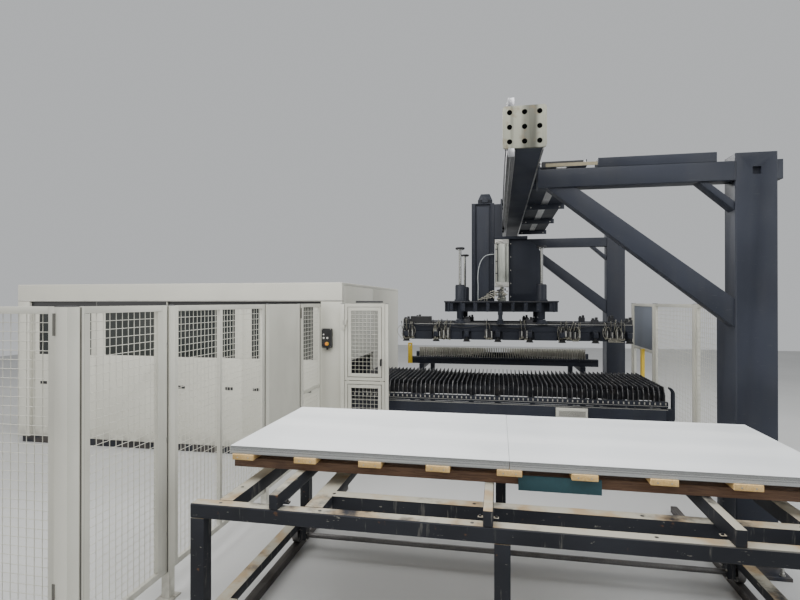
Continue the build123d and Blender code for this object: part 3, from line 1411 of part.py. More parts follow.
# Grey panel: upper sheet in the last bay of the right hand fence
grey_span = (right_spans[2][0] + frame_width + seat_gap, right_spans[2][1] - frame_width - seat_gap)
with BuildPart() as grey_panel:
    block(around(right_fence_x, solid_sheet_thickness), grey_span,
          (grey_panel_bottom + seat_gap, rail_rows_z[1][0] - seat_gap))
grey_panel.part.label = "grey_panel"
export_step(grey_panel.part, "parts/grey_panel.step")

# Fence marker: a narrow yellow plate hung from the rail below the grey panel
with BuildPart() as fence_marker:
    block((right_plane[0] - fence_marker_thickness, right_plane[0]), around(fence_marker_y, fence_marker_width),
          (grey_panel_bottom - fence_marker_height, grey_panel_bottom - frame_width / 4))
fence_marker.part.label = "fence_marker"
export_step(fence_marker.part, "parts/fence_marker.step")

# Narrow door: framed mesh leaf with a middle rail and the upper hinge halves
leaf_y = (door_hinge_y + 2, door_free_y)
leaf_openings_z = ((rail_rows_z[0][1], door_mid_rail_z - frame_width / 2),
                   (door_mid_rail_z + frame_width / 2, rail_rows_z[1][0]))
with BuildPart() as narrow_door:
    for edge in ((leaf_y[0], leaf_y[0] + frame_width), (leaf_y[1] - frame_width, leaf_y[1])):
        block(left_plane, edge, fence_z)
    for row in (rail_rows_z[0], around(door_mid_rail_z, frame_width), rail_rows_z[1]):
        block(left_plane, leaf_y, row)
    for wire_y in inner_places(leaf_y[0] + frame_width, leaf_y[1] - frame_width, wire_pitch):
        for low, high in leaf_openings_z:
            block((left_fence_x, left_fence_x + wire_size), around(wire_y, wire_size), (low, high))
    for hinge_z in hinge_places:
        with Locations((door_hinge_x, door_hinge_y, hinge_z + hinge_length / 2 + seat_gap)):
            Cylinder(hinge_radius, hinge_length)
        block((door_hinge_x, left_fence_x), (door_hinge_y + 2, door_hinge_y + post_size / 2),
              (hinge_z + seat_gap, hinge_z + hinge_length + seat_gap))
narrow_door.part.label = "narrow_door"
export_step(narrow_door.part, "parts/narrow_door.step")

# Gate: two framed mesh panes in one leaf, with the upper hinge halves
gate_x = (gate_hinge_x + 2, gate_free_x)
gate_plane = around(gate_plane_y, frame_thickness)
gate_low_z = (fence_z[0], gate_mid_rail_z - 4)
gate_high_z = (gate_mid_rail_z + 4, fence_z[1])
with BuildPart() as gate:
    for pane_z in (gate_low_z, gate_high_z):
        for edge in ((gate_x[0], gate_x[0] + gate_border), (gate_x[1] - gate_border, gate_x[1])):
            block(edge, gate_plane, pane_z)
        for row in ((pane_z[0], pane_z[0] + gate_border), (pane_z[1] - gate_border, pane_z[1])):
            block(gate_x, gate_plane, row)
        for wire_x in inner_places(gate_x[0] + gate_border, gate_x[1] - gate_border, wire_pitch):
            block(around(wire_x, wire_size), (gate_plane_y, gate_plane_y + wire_size),
                  (pane_z[0] + gate_border, pane_z[1] - gate_border))
    for edge in (gate_x[0] + gate_border / 2, gate_x[1] - gate_border / 2):
        block(around(edge, gate_border / 2), around(gate_plane_y, frame_thickness / 2),
              (gate_low_z[1], gate_high_z[0]))
    for hinge_z in hinge_places:
        with Locations((gate_hinge_x, gate_hinge_y, hinge_z + hinge_length / 2 + seat_gap)):
            Cylinder(hinge_radius, hinge_length)
        block((gate_hinge_x + 2, gate_hinge_x + post_size / 2), (gate_hinge_y, gate_plane_y),
              (hinge_z + seat_gap, hinge_z + hinge_length + seat_gap))
gate.part.label = "gate"
export_step(gate.part, "parts/gate.step")

# Gate latch: a turning lever on the gate's free edge
latch_x = gate_free_x - gate_border / 2
latch_y = gate_plane[0]
with BuildPart() as gate_latch:
    with BuildSketch(Plane.XZ.offset(-latch_y + seat_gap)) as latch_boss:
        with Locations((latch_x, latch_z)):
            Circle(latch_radius)
    extrude(amount=18)
    with BuildSketch(Plane.XZ.offset(-latch_y + seat_gap + 18)) as latch_lever:
        with Locations((latch_x, latch_z - latch_length / 2 + latch_radius)):
            SlotOverall(latch_length, 2 * latch_radius, rotation=90)
    extrude(amount=12)
gate_latch.part.label = "gate_latch"
export_step(gate_latch.part, "parts/gate_latch.step")
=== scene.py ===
"""Looks for a laser cutting cell: enclosure, shuttle pallet, unloading comb, gantry loader, cart and fence."""

import json
import math

import bmesh
import bpy
import numpy as np
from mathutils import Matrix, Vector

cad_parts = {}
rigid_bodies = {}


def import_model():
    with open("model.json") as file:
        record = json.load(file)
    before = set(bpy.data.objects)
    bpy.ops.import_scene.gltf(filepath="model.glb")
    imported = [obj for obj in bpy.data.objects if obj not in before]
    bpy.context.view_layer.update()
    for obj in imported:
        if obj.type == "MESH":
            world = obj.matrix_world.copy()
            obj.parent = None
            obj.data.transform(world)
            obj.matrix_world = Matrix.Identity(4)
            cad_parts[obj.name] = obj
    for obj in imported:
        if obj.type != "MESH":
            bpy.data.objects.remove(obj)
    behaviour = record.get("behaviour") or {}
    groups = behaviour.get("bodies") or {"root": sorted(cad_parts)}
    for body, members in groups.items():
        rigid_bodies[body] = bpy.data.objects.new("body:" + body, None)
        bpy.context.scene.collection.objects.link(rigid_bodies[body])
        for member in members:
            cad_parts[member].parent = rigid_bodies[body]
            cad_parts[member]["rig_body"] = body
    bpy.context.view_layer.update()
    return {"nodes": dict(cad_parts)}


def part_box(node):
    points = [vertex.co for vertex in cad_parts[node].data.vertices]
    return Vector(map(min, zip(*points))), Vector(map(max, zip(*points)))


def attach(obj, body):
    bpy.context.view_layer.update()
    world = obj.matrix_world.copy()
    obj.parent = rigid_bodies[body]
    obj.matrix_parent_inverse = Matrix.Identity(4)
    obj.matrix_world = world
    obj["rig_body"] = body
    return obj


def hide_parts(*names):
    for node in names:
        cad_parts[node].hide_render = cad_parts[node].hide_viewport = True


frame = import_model()
nodes = frame["nodes"]


# Camera and light

def linked(name, data):
    """An object with the given data, in the scene."""
    made = bpy.data.objects.new(name, data)
    bpy.context.scene.collection.objects.link(made)
    return made


def camera_at(place, left_turn, tilt, lens):
    """A camera that looks along +Y, turned left about Z and tilted up, both in degrees."""
    data = bpy.data.cameras.new("view")
    data.lens, data.sensor_width, data.clip_end = lens, 36.0, 200.0
    view = linked("view", data)
    view.location = place
    view.rotation_euler = (math.radians(90 + tilt), 0.0, math.radians(left_turn))
    bpy.context.scene.camera = view


def soft_light(name, place, aim, size, power, colour=(1.0, 1.0, 1.0)):
    """A rectangular lamp at place, turned towards aim."""
    data = bpy.data.lights.new(name, "AREA")
    data.shape, data.energy, data.color = "RECTANGLE", power, colour
    data.size, data.size_y = size
    lamp = linked(name, data)
    lamp.location = place
    x, y, z = np.subtract(aim, place)
    lamp.rotation_euler = (math.atan2(math.hypot(x, y), -z), 0.0, math.atan2(y, x) - math.pi / 2)


camera_at((2.375, -6.140, 2.050), left_turn=10.77, tilt=0.2, lens=23.2)
soft_light("ceiling_front", (1.0, -4.0, 6.5), (1.5, 0.5, 1.0), (7.0, 4.0), 480.0)
soft_light("ceiling_back", (1.0, 5.0, 6.5), (1.5, 1.5, 1.0), (8.0, 4.0), 420.0)
soft_light("left_wall", (-10.0, -7.5, 6.0), (1.0, 0.0, 1.2), (9.0, 7.0), 620.0, (1.0, 0.98, 0.95))
soft_light("right_wall", (11.0, -4.0, 6.0), (2.5, 0.5, 1.2), (8.0, 6.0), 420.0, (0.95, 0.98, 1.0))
world = bpy.data.worlds.new("studio")
world.use_nodes = True
background = world.node_tree.nodes["Background"].inputs
background["Color"].default_value = (0.86, 0.88, 0.90, 1.0)
background["Strength"].default_value = 0.62
bpy.context.scene.world = world


# Materials

def math_operator(operation, swapped=False):
    """A method that makes a Math node from a signal and another value, in that order or swapped."""
    def method(self, other):
        return self.finish.math(operation, *((other, self) if swapped else (self, other)))
    return method


class Signal:
    """A socket of a material's nodes, so that masks can be written as sums."""

    def __init__(self, finish, socket):
        self.finish = finish
        self.socket = socket

    __add__ = __radd__ = math_operator("ADD")
    __mul__ = __rmul__ = math_operator("MULTIPLY")
    __sub__ = math_operator("SUBTRACT")
    __rsub__ = math_operator("SUBTRACT", swapped=True)
    __truediv__ = math_operator("DIVIDE")
    __mod__ = math_operator("FLOORED_MODULO")

    def size(self):
        """The value without its sign."""
        return self.finish.math("ABSOLUTE", self)

    def over(self, low, high):
        """0 below low and 1 above high, eased between; falling where low is above high."""
        if low > high:
            return 1.0 - self.over(high, low)
        return self.finish.node("ShaderNodeMapRange", {"interpolation_type": "SMOOTHSTEP"}, self, low, high)


EVEN = (1.0, 1.0, 1.0)


class Finish:
    """One material: patterns in the row frame's metres feed a single Principled shader."""

    def __init__(self, name, **fixed):
        self.material = bpy.data.materials.new(name)
        self.material.use_nodes = True
        self.tree = self.material.node_tree
        self.shader = self.tree.nodes["Principled BSDF"]
        self.place = self.node("ShaderNodeTexCoord", output="Object")
        self.x, self.y, self.z = self.parts(self.place)
        self.face_x, self.face_y, self.face_z = self.parts(self.node("ShaderNodeNewGeometry", output="Normal"))
        for socket, value in fixed.items():
            self.shader.inputs[socket.replace("_", " ").title().replace("Ior", "IOR")].default_value = value

    def feed(self, socket, value):
        """Links a signal to a socket, or sets the socket to a value."""
        if isinstance(value, Signal):
            self.tree.links.new(value.socket, socket)
        elif isinstance(value, tuple) and socket.type == "RGBA":
            socket.default_value = (*value, 1.0)[:4]
        elif value is not None:
            socket.default_value = value

    def node(self, kind, settings=None, *values, output=0, **named):
        """One node: its settings first, then values or links by place and by name."""
        made = self.tree.nodes.new(kind)
        for key, value in (settings or {}).items():
            setattr(made, key, value)
        for socket, value in zip(made.inputs, values):
            self.feed(socket, value)
        for key, value in named.items():
            self.feed(made.inputs[key], value)
        return Signal(self, made.outputs[output])

    def math(self, operation, *values):
        return self.node("ShaderNodeMath", {"operation": operation}, *values)

    def parts(self, vector):
        """The x, y and z of a vector."""
        split = self.node("ShaderNodeSeparateXYZ", None, vector).socket.node
        return [Signal(self, socket) for socket in split.outputs]

    def pattern(self, kind, stretch, **named):
        """A texture node whose pattern is squeezed by stretch along each axis."""
        where = self.node("ShaderNodeVectorMath", {"operation": "MULTIPLY"}, self.place, stretch)
        return self.node(kind, None, Vector=where, **named)

    def noise(self, scale, detail=3.0, stretch=EVEN, rough=0.5):
        """Cloudy noise, about 0.3 to 0.7."""
        return self.pattern("ShaderNodeTexNoise", stretch, Scale=scale, Detail=detail, Roughness=rough)

    def cells(self, scale, stretch=EVEN):
        """Distance to the nearest of a set of scattered points, for spatter and pits."""
        return self.pattern("ShaderNodeTexVoronoi", stretch, Scale=scale)

    def each(self, *values):
        """A steady random number for each whole set of values, such as the layer of a stack."""
        where = self.node("ShaderNodeCombineXYZ", None, *values)
        return self.node("ShaderNodeTexWhiteNoise", {"noise_dimensions": "3D"}, where)

    def blend(self, first, second, share):
        """One colour turning into another as share goes from 0 to 1."""
        made = self.tree.nodes.new("ShaderNodeMix")
        made.data_type = "RGBA"
        for index, value in ((0, share), (6, first), (7, second)):
            self.feed(made.inputs[index], value)
        return Signal(self, made.outputs[2])

    def done(self, colour, roughness=None, metallic=None, height=None, depth=0.001, alpha=None):
        """Feeds the shader. depth is the bump's full height in metres."""
        for name, value in (("Base Color", colour), ("Roughness", roughness), ("Metallic", metallic),
                            ("Alpha", alpha)):
            self.feed(self.shader.inputs[name], value)
        if height is not None:
            bump = self.node("ShaderNodeBump", None, Strength=1.0, Distance=depth, Height=height)
            self.feed(self.shader.inputs["Normal"], bump)
        return self.material


def shade(colour, share):
    """The colour, darker or lighter by a share."""
    return tuple(share * part for part in colour)


def machine_paint(name, colour, dust_colour, dust, scuff, roughness=0.42, cloud=0.14, marks=None, **fixed):
    """Sprayed paint: slow mottling, fine orange peel, dust where it faces up, thin scuffs down to primer, and
    dark marks where a mask is given for them."""
    f = Finish(name, **fixed)
    mottle = f.noise(1.7, 5.0).over(0.3, 0.7)
    smear = f.noise(7.0, 5.0, (1.0, 1.0, 0.35)).over(0.42, 0.72)
    settled = f.face_z.over(0.5, 0.95) * f.noise(3.5, 6.0).over(0.30, 0.66)
    line_across = f.noise(11.0, 5.0, (1.0, 9.0, 9.0), 0.6).over(0.655, 0.70)
    line_along = f.noise(10.0, 5.0, (9.0, 1.0, 7.0), 0.6).over(0.66, 0.71)
    scratched = (line_across + line_along) * scuff
    foot = f.z.over(0.32, 0.0) * f.noise(9.0, 4.0).over(0.35, 0.65)
    body = f.blend(shade(colour, 1.0 - cloud), shade(colour, 1.0 + cloud), mottle)
    body = f.blend(body, shade(dust_colour, 0.5), smear * (2.5 * cloud * dust))
    body = f.blend(body, dust_colour, settled * dust)
    body = f.blend(body, shade(dust_colour, 1.25), scratched)
    body = f.blend(body, (0.10, 0.085, 0.07), foot * 0.55)
    peel = f.noise(420.0, 2.0) + scratched * -0.4
    if marks:
        body = f.blend(body, (0.035, 0.035, 0.034), marks(f))
    return f.done(body, roughness + 0.16 * mottle + settled * 0.25, height=peel, depth=0.00025)


def case_marks(f):
    """Seams of the roof, back and end panels, with the outlines, latches and louvres of their service doors; the
    louvres' slots are dark with painted shade.
    """
    roof = f.face_z.over(0.5, 0.9) * f.z.over(2.25, 2.29)
    back = f.face_y.over(0.5, 0.9) * f.y.over(3.90, 3.95)
    end = f.face_x.over(-0.5, -0.9) * f.x.over(-4.45, -4.50)
    door_margin, door_middle, door_half_height = 0.085, 1.125, 0.865
    latch_margin, latch_middle = 0.135, 1.10
    low_louvre, high_louvre, slot_pitch = 0.60, 1.77, 0.03

    def panel(along, start, width):
        """Seams between panels of one width that repeat along an axis, and the marks of the door in each."""
        across = ((along - start) % width - width / 2).size()
        door = f.math("MAXIMUM", across - (width / 2 - door_margin), (f.z - door_middle).size() - door_half_height)
        # Slots of the door louvres: their dark lines are painted shade, where the openings would lie in shadow.
        slots = ((f.z % slot_pitch) - slot_pitch / 2).size().over(0.007, 0.005) * across.over(0.301, 0.300)
        louvre_shade = slots * ((f.z - low_louvre).size().over(0.181, 0.180)
                          + (f.z - high_louvre).size().over(0.091, 0.090))
        latch = ((across - (width / 2 - latch_margin)).size().over(0.014, 0.012)
                 * (f.z - latch_middle).size().over(0.062, 0.060))
        return across.over(width / 2 - 0.0045, width / 2 - 0.0035), door.size().over(0.004, 0.003) + louvre_shade + latch

    seam, door = panel(f.x, start=-4.51, width=1.23125)
    end_seam, end_door = panel(f.y, start=0.29, width=1.22333)
    return roof * seam + back * (seam + door) + end * (end_seam + end_door)


def worn_tube_paint(name):
    """Dark paint on the cart: cream bare patches on the tops where stock slides, rust freckles below."""
    f = Finish(name, specular_ior_level=0.25)
    mottle = f.noise(2.2, 5.0).over(0.3, 0.7)
    rubbed = f.face_z.over(0.7, 0.95) * f.noise(2.4, 8.0, EVEN, 0.66).over(0.32, 0.50)
    runs = f.face_z.size().over(0.5, 0.2) * f.noise(26.0, 6.0, (1.0, 1.0, 0.10), 0.6).over(0.60, 0.68)
    edges = f.noise(30.0, 6.0, (0.5, 0.25, 1.6), 0.65).over(0.66, 0.70)
    rust = f.noise(17.0, 8.0).over(0.66, 0.76)
    body = f.blend((0.011, 0.012, 0.016), (0.022, 0.024, 0.030), mottle)
    body = f.blend(body, (0.16, 0.075, 0.035), rust * 0.7)
    body = f.blend(body, (0.34, 0.32, 0.27), edges * 0.6 + runs * 0.22)
    bare = f.blend((0.50, 0.47, 0.38), (0.46, 0.34, 0.20), f.noise(5.0, 5.0).over(0.48, 0.68))
    body = f.blend(body, bare, rubbed * 0.8)
    height = f.noise(300.0, 2.0) + rubbed * -0.5 + rust * 0.6
    return f.done(body, 0.48 + 0.2 * mottle + rust * 0.2, height=height, depth=0.0004)


def bare_metal(name, colour, roughness, stretch, stain=0.3):
    """Machined or drawn metal: fine lines along one axis, with darker oily stains."""
    f = Finish(name)
    lines = f.noise(90.0, 4.0, stretch)
    stained = f.noise(4.0, 6.0).over(0.45, 0.72)
    body = f.blend(shade(colour, 0.8), colour, lines.over(0.3, 0.7))
    body = f.blend(body, shade(colour, 0.35), stained * stain)
    return f.done(body, roughness + 0.18 * lines + stained * 0.15, 1.0, lines, 0.00012)


def brushed_plate(name):
    """Thick machined plate: broad upright stripes of painted reflection, light and dark, fine brushing along them, and
    brown stains.
    """
    f = Finish(name)
    # Painted reflection: broad upright stripes, lighter and darker, standing in for the room mirrored in the brushed
    # plate.
    reflection_bands = f.noise(9.0, 2.0, (1.0, 1.0, 0.03)).over(0.40, 0.62)
    lines = f.noise(120.0, 4.0, (1.0, 1.0, 0.04))
    body = f.blend((0.050, 0.050, 0.041), (0.35, 0.35, 0.285), reflection_bands * 0.8 + lines * 0.25)
    body = f.blend(body, (0.20, 0.15, 0.09), f.noise(13.0, 6.0).over(0.54, 0.70) * 0.55)
    return f.done(body, 0.30 + 0.2 * lines, 0.8, lines, 0.00015)


def slat_metal(name):
    """Dark cutting slats: scale and spatter, bright melted beads, and lighter steel along the top edge and the front
    ends, partly wear and partly a painted highlight.
    """
    f = Finish(name)
    top = f.z.over(0.985, 1.035)
    grime = f.noise(14.0, 7.0).over(0.35, 0.7)
    beads = f.cells(70.0).over(0.30, 0.12)
    # Lighter top edge and front ends: partly real wear, partly a painted highlight where the light catches the slats.
    front = f.y.over(0.470, 0.415) * f.noise(18.0, 6.0).over(0.36, 0.56)
    wear_and_highlight = (top * f.noise(22.0, 6.0).over(0.46, 0.66) + front).over(0.0, 1.0)
    body = f.blend((0.026, 0.027, 0.032), (0.060, 0.062, 0.070), grime)
    body = f.blend(body, (0.10, 0.085, 0.072), f.noise(6.0, 5.0).over(0.5, 0.7) * 0.4)
    body = f.blend(body, (0.25, 0.245, 0.24), wear_and_highlight * 0.62)
    return f.done(body, 0.42 + 0.25 * grime, 0.55, beads * top + grime * 0.4, 0.0012)


def sheet_coating(name):
    """Pale protective coating on flat sheet: faint rolling streaks and smudges; grey layered edges at the sides."""
    f = Finish(name)
    streak = f.noise(5.0, 4.0, (0.06, 1.0, 1.0)).over(0.35, 0.65)
    smudge = f.noise(1.8, 6.0).over(0.5, 0.75)
    specks = f.cells(9.0).over(0.05, 0.02)
    layer = f.math("FLOOR", f.z / 0.0031)
    side = f.face_z.size().over(0.6, 0.3)
    edge_tone = f.each(layer, 1.0, 2.0).over(0.0, 1.0)
    body = f.blend((0.79, 0.81, 0.815), (0.85, 0.865, 0.865), streak)
    body = f.blend(body, (0.64, 0.66, 0.66), smudge * 0.35)
    body = f.blend(body, (0.35, 0.34, 0.32), specks * 0.5)
    edge = f.blend((0.17, 0.175, 0.175), (0.46, 0.47, 0.46), edge_tone)
    body = f.blend(body, edge, side)
    return f.done(body, 0.34 + 0.1 * streak + side * 0.15, height=smudge, depth=0.0002)


def timber(name, light, dark, along, rough_sawn):
    """Sawn wood: growth rings stretched along one axis, saw marks across it, and darker knots."""
    f = Finish(name)
    stretch = tuple(0.06 if axis == along else 1.0 for axis in "xyz")
    rings = f.noise(26.0, 6.0, stretch, 0.6)
    grain = (rings * 9.0 % 1.0).over(0.1, 0.9)
    knots = f.cells(2.4, tuple(0.5 if axis == along else 1.6 for axis in "xyz")).over(0.10, 0.05)
    position = {"x": f.x, "y": f.y, "z": f.z}[along]
    saw = f.math("SINE", position * 900.0 + rings * 6.0)
    body = f.blend(dark, light, grain * 0.6 + 0.3)
    body = f.blend(body, shade(dark, 0.45), knots * 0.8)
    body = f.blend(body, shade(dark, 0.7), f.noise(5.0, 5.0).over(0.5, 0.75) * 0.5)
    height = grain * 0.6 + saw * (0.25 * rough_sawn) + knots * -0.4
    return f.done(body, 0.72, height=height, depth=0.0007)


def moulded(name, colour, roughness, texture=500.0, depth=0.00015, **fixed):
    """Moulded plastic or rubber: an even colour with a fine spark-eroded texture and slight wear."""
    f = Finish(name, **fixed)
    wear = f.noise(30.0, 4.0).over(0.45, 0.7)
    body = f.blend(colour, shade(colour, 1.35), wear * 0.5)
    return f.done(body, roughness + 0.12 * wear, height=f.noise(texture, 2.0), depth=depth)


def tinted_pane(name):
    """Dark safety glazing: glossy, slightly see-through, with a faint haze of dust."""
    f = Finish(name, coat_weight=0.6, coat_roughness=0.03)
    haze = f.noise(3.0, 6.0).over(0.4, 0.75)
    return f.done(f.blend((0.012, 0.016, 0.014), (0.06, 0.062, 0.058), haze * 0.4), 0.06 + 0.12 * haze, alpha=0.86)


def shop_floor(name):
    """Plain pale floor with barely visible clouding."""
    f = Finish(name)
    cloud = f.noise(0.5, 4.0).over(0.3, 0.7)
    return f.done(f.blend((0.50, 0.50, 0.49), (0.54, 0.54, 0.53), cloud), 0.75)


# A paint gives its colour, the colour of dust on it, the shares of dust and scuffs, its roughness and its clouding;
# a metal gives its colour, its roughness, the stretch of its lines and the share of its stains.
DARK = (0.0215, 0.0250, 0.0360)
BEIGE = (0.56, 0.55, 0.48)
anthracite = machine_paint("anthracite_paint", DARK, (0.12, 0.117, 0.108), 0.36, 0.14, specular_ior_level=0.28)
deep_anthracite = machine_paint("loader_paint", shade(DARK, 0.78), (0.09, 0.09, 0.088), 0.28, 0.10,
                                specular_ior_level=0.25)
beige = machine_paint("beige_paint", BEIGE, (0.34, 0.32, 0.27), 0.25, 0.07, 0.40, 0.030, case_marks)
fence_paint = machine_paint("fence_paint", BEIGE, (0.33, 0.31, 0.27), 0.30, 0.16, 0.38, 0.07)
light_grey = machine_paint("light_grey_paint", (0.50, 0.50, 0.46), (0.20, 0.19, 0.17), 0.45, 0.30, 0.45)
panel_grey = machine_paint("panel_grey_paint", (0.145, 0.165, 0.20), (0.2, 0.2, 0.2), 0.2, 0.1, 0.5)
yellow = machine_paint("yellow_paint", (0.76, 0.52, 0.040), (0.30, 0.26, 0.12), 0.3, 0.2, 0.38)
cart_paint = worn_tube_paint("cart_paint")
tine_metal = bare_metal("tine_metal", (0.60, 0.58, 0.52), 0.42, (0.1, 1.0, 1.0))
tine_paint = machine_paint("tine_paint", (0.47, 0.455, 0.40), (0.20, 0.18, 0.15), 0.45, 0.35, 0.45)
dark_steel = bare_metal("dark_steel", (0.075, 0.075, 0.08), 0.42, EVEN, 0.3)
brass = bare_metal("brass_fitting_metal", (0.36, 0.345, 0.29), 0.34, EVEN, 0.3)
rail_metal = bare_metal("rail_metal", (0.42, 0.42, 0.43), 0.28, (1.0, 0.05, 1.0))
bright_metal = bare_metal("bright_metal", (0.74, 0.74, 0.73), 0.22, (1.0, 0.05, 1.0), 0.15)
zinc = bare_metal("zinc_metal", (0.58, 0.57, 0.53), 0.34, EVEN)
chrome_rod = bare_metal("chrome_rod_metal", (0.62, 0.62, 0.61), 0.12, (1.0, 1.0, 0.05), 0.5)
profile_metal = bare_metal("profile_metal", (0.36, 0.37, 0.33), 0.36, (1.0, 1.0, 0.05), 0.5)
plate_steel = brushed_plate("plate_steel")
floor_metal = bare_metal("floor_rail_metal", (0.14, 0.13, 0.125), 0.5, (1.0, 0.05, 1.0), 0.6)
iron = bare_metal("wheel_iron", (0.20, 0.195, 0.19), 0.42, EVEN, 0.5)
slat_finish = slat_metal("slat_metal")
coating = sheet_coating("sheet_coating")
pale_wood = timber("batten_timber", (0.80, 0.56, 0.25), (0.60, 0.37, 0.13), "y", 1.0)
brown_wood = timber("beam_timber", (0.17, 0.095, 0.055), (0.085, 0.045, 0.028), "x", 0.6)
black_plastic = moulded("black_plastic", (0.014, 0.014, 0.015), 0.38)
# Near-black without sheen: painted shade for the insides of holes.
hole_shade = moulded("hole_shade", (0.002, 0.002, 0.002), 0.9, specular_ior_level=0.0)
tray_liner = moulded("tray_liner", (0.22, 0.19, 0.12), 0.6)
cable_jacket = moulded("cable_jacket", (0.012, 0.012, 0.013), 0.45, 200.0)
air_line = moulded("air_line", (0.36, 0.38, 0.38), 0.30, 200.0)
cup_rubber = moulded("cup_rubber", (0.017, 0.017, 0.017), 0.62, 260.0, 0.0003)
# A mid-dark rubber tone for the strips of painted shade in the fence's gaps.
gap_shade_rubber = moulded("gap_shade_rubber", (0.11, 0.105, 0.09), 0.7, 260.0)
orange = moulded("orange_plastic", (0.80, 0.27, 0.02), 0.28, 600.0, 0.0001)
white_plastic = moulded("white_plastic", (0.72, 0.71, 0.67), 0.30, 600.0, 0.0001)
teal = moulded("teal_board", (0.026, 0.080, 0.098), 0.55, 160.0, 0.0003)
pane = tinted_pane("tinted_pane")
floor_finish = shop_floor("floor")


# Surfaces worked out with numpy, in metres

def detail(name, finish, body, *surfaces, bevel=0.0, smooth=True, instead_of=None):
    """One piece made of surfaces, each a pair of points and groups of faces, riding on a body. Its edges are rolled
    over where bevel is given, and a CAD node gives way to it where instead_of names one."""
    points, faces, count = [], [], 0
    for part, groups in surfaces:
        faces += [face for group in groups for face in (np.asarray(group) + count).tolist()]
        points.append(np.asarray(part, float).reshape(-1, 3))
        count += len(points[-1])
    mesh = bpy.data.meshes.new(name)
    mesh.from_pydata(np.concatenate(points).tolist(), [], faces)
    mesh.materials.append(finish)
    made = linked(name, mesh)
    soften(made, bevel, smooth)
    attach(made, body)
    if instead_of:
        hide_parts(instead_of)


def soften(made, bevel, smooth=True):
    """Smooth shading across gentle angles, and a small rolled edge on the sharp ones."""
    made.data.polygons.foreach_set("use_smooth", [smooth] * len(made.data.polygons))
    if bevel:
        roll = made.modifiers.new("edge", "BEVEL")
        roll.width, roll.segments = bevel, 2
        roll.limit_method = "ANGLE"
        roll.angle_limit = math.radians(32)
        roll.harden_normals = True
    elif smooth:
        made.data.set_sharp_from_angle(angle=math.radians(35))


def ring_faces(rings, sides):
    """Quads between neighbouring rings of points, each ring wrapped round from its last point to its first."""
    first = sides * np.arange(rings - 1)[:, None]
    here = np.arange(sides)[None, :]
    right = (here + 1) % sides
    corners = (first + here, first + right, first + sides + right, first + sides + here)
    return np.stack(np.broadcast_arrays(*corners), -1).reshape(-1, 4)


def copies(points, faces, spots):
    """The same surface at several spots: its points plus each spot, its faces shifted to match."""
    points = np.asarray(points, float).reshape(-1, 3)
    spots = np.asarray(spots, float).reshape(-1, 3)
    step = np.arange(len(spots))[:, None, None] * len(points)
    return (points[None] + spots[:, None]).reshape(-1, 3), [
        (np.asarray(group)[None] + step).reshape(-1, np.shape(group)[1]) for group in faces]


CUBE = np.array([[x, y, z] for x in (0, 1) for y in (0, 1) for z in (0, 1)], float)
CUBE_FACES = np.array([[0, 1, 3, 2], [4, 6, 7, 5], [0, 4, 5, 1], [2, 3, 7, 6], [0, 2, 6, 4], [1, 5, 7, 3]])


def bars(lows, highs):
    """Cuboids: each corner is low + (high - low) times a corner of the unit cube."""
    lows = np.atleast_2d(np.asarray(lows, float))
    highs = np.atleast_2d(np.asarray(highs, float))
    points = lows[:, None] + (highs - lows)[:, None] * CUBE[None]
    faces = CUBE_FACES[None] + 8 * np.arange(len(lows))[:, None, None]
    return points.reshape(-1, 3), [faces.reshape(-1, 4)]


def square_to(direction):
    """Two unit vectors square to each direction: its cross product with the least aligned axis, and with that."""
    direction = direction / np.linalg.norm(direction, axis=-1, keepdims=True)
    helper = np.where(np.abs(direction[..., 2:]) < 0.8, (0.0, 0.0, 1.0), (1.0, 0.0, 0.0))
    first = np.cross(direction, helper)
    first /= np.linalg.norm(first, axis=-1, keepdims=True)
    return first, np.cross(direction, first)


def rods(starts, ends, radius, sides):
    """Straight round bars: rings start and end + r (cos a u + sin a v), with u and v square to the bar."""
    starts = np.atleast_2d(np.asarray(starts, float))
    ends = np.atleast_2d(np.asarray(ends, float))
    u, v = square_to(ends - starts)
    angle = np.linspace(0, 2 * np.pi, sides, endpoint=False)[None, :, None]
    ring = radius * (np.cos(angle) * u[:, None] + np.sin(angle) * v[:, None])
    points = np.stack([starts[:, None] + ring, ends[:, None] + ring], 1)
    wall = ring_faces(2, sides)
    caps = np.array([np.arange(sides)[::-1], np.arange(sides) + sides])
    step = 2 * sides * np.arange(len(starts))[:, None, None]
    return points.reshape(-1, 3), [(wall[None] + step).reshape(-1, 4), (caps[None] + step).reshape(-1, sides)]


def turned(profile, axis, sides):
    """A profile of (radius, height) pairs turned about an axis: each ring is r cos a and r sin a at its height."""
    profile = np.asarray(profile, float)
    angle = np.linspace(0, 2 * np.pi, sides, endpoint=False)
    radius, height = profile[:, :1], profile[:, 1:]
    a, b = radius * np.cos(angle), radius * np.sin(angle)
    h = np.broadcast_to(height, a.shape)
    order = {"z": (a, b, h), "x": (h, a, b), "y": (b, h, a)}[axis]
    caps = [np.arange(sides)[::-1][None], (np.arange(sides) + (len(profile) - 1) * sides)[None]]
    return np.stack(order, -1).reshape(-1, 3), [ring_faces(len(profile), sides), *caps]


def spun(profile, axis, sides, spots):
    """A turned profile at several spots."""
    return copies(*turned(profile, axis, sides), spots)


def curve_through(points, steps):
    """A smooth line through points, by the Catmull-Rom cubic worked out for all of its stations at once."""
    points = np.asarray(points, float)
    padded = np.concatenate([2 * points[:1] - points[1:2], points, 2 * points[-1:] - points[-2:-1]])
    along = np.linspace(0, len(points) - 1, steps * (len(points) - 1) + 1)
    index = np.minimum(along.astype(int), len(points) - 2)
    t = (along - index)[:, None]
    weights = ((-t + 2 * t**2 - t**3) / 2, (2 - 5 * t**2 + 3 * t**3) / 2,
               (t + 4 * t**2 - 3 * t**3) / 2, (-t**2 + t**3) / 2)
    return sum(weight * padded[index + offset] for offset, weight in enumerate(weights))


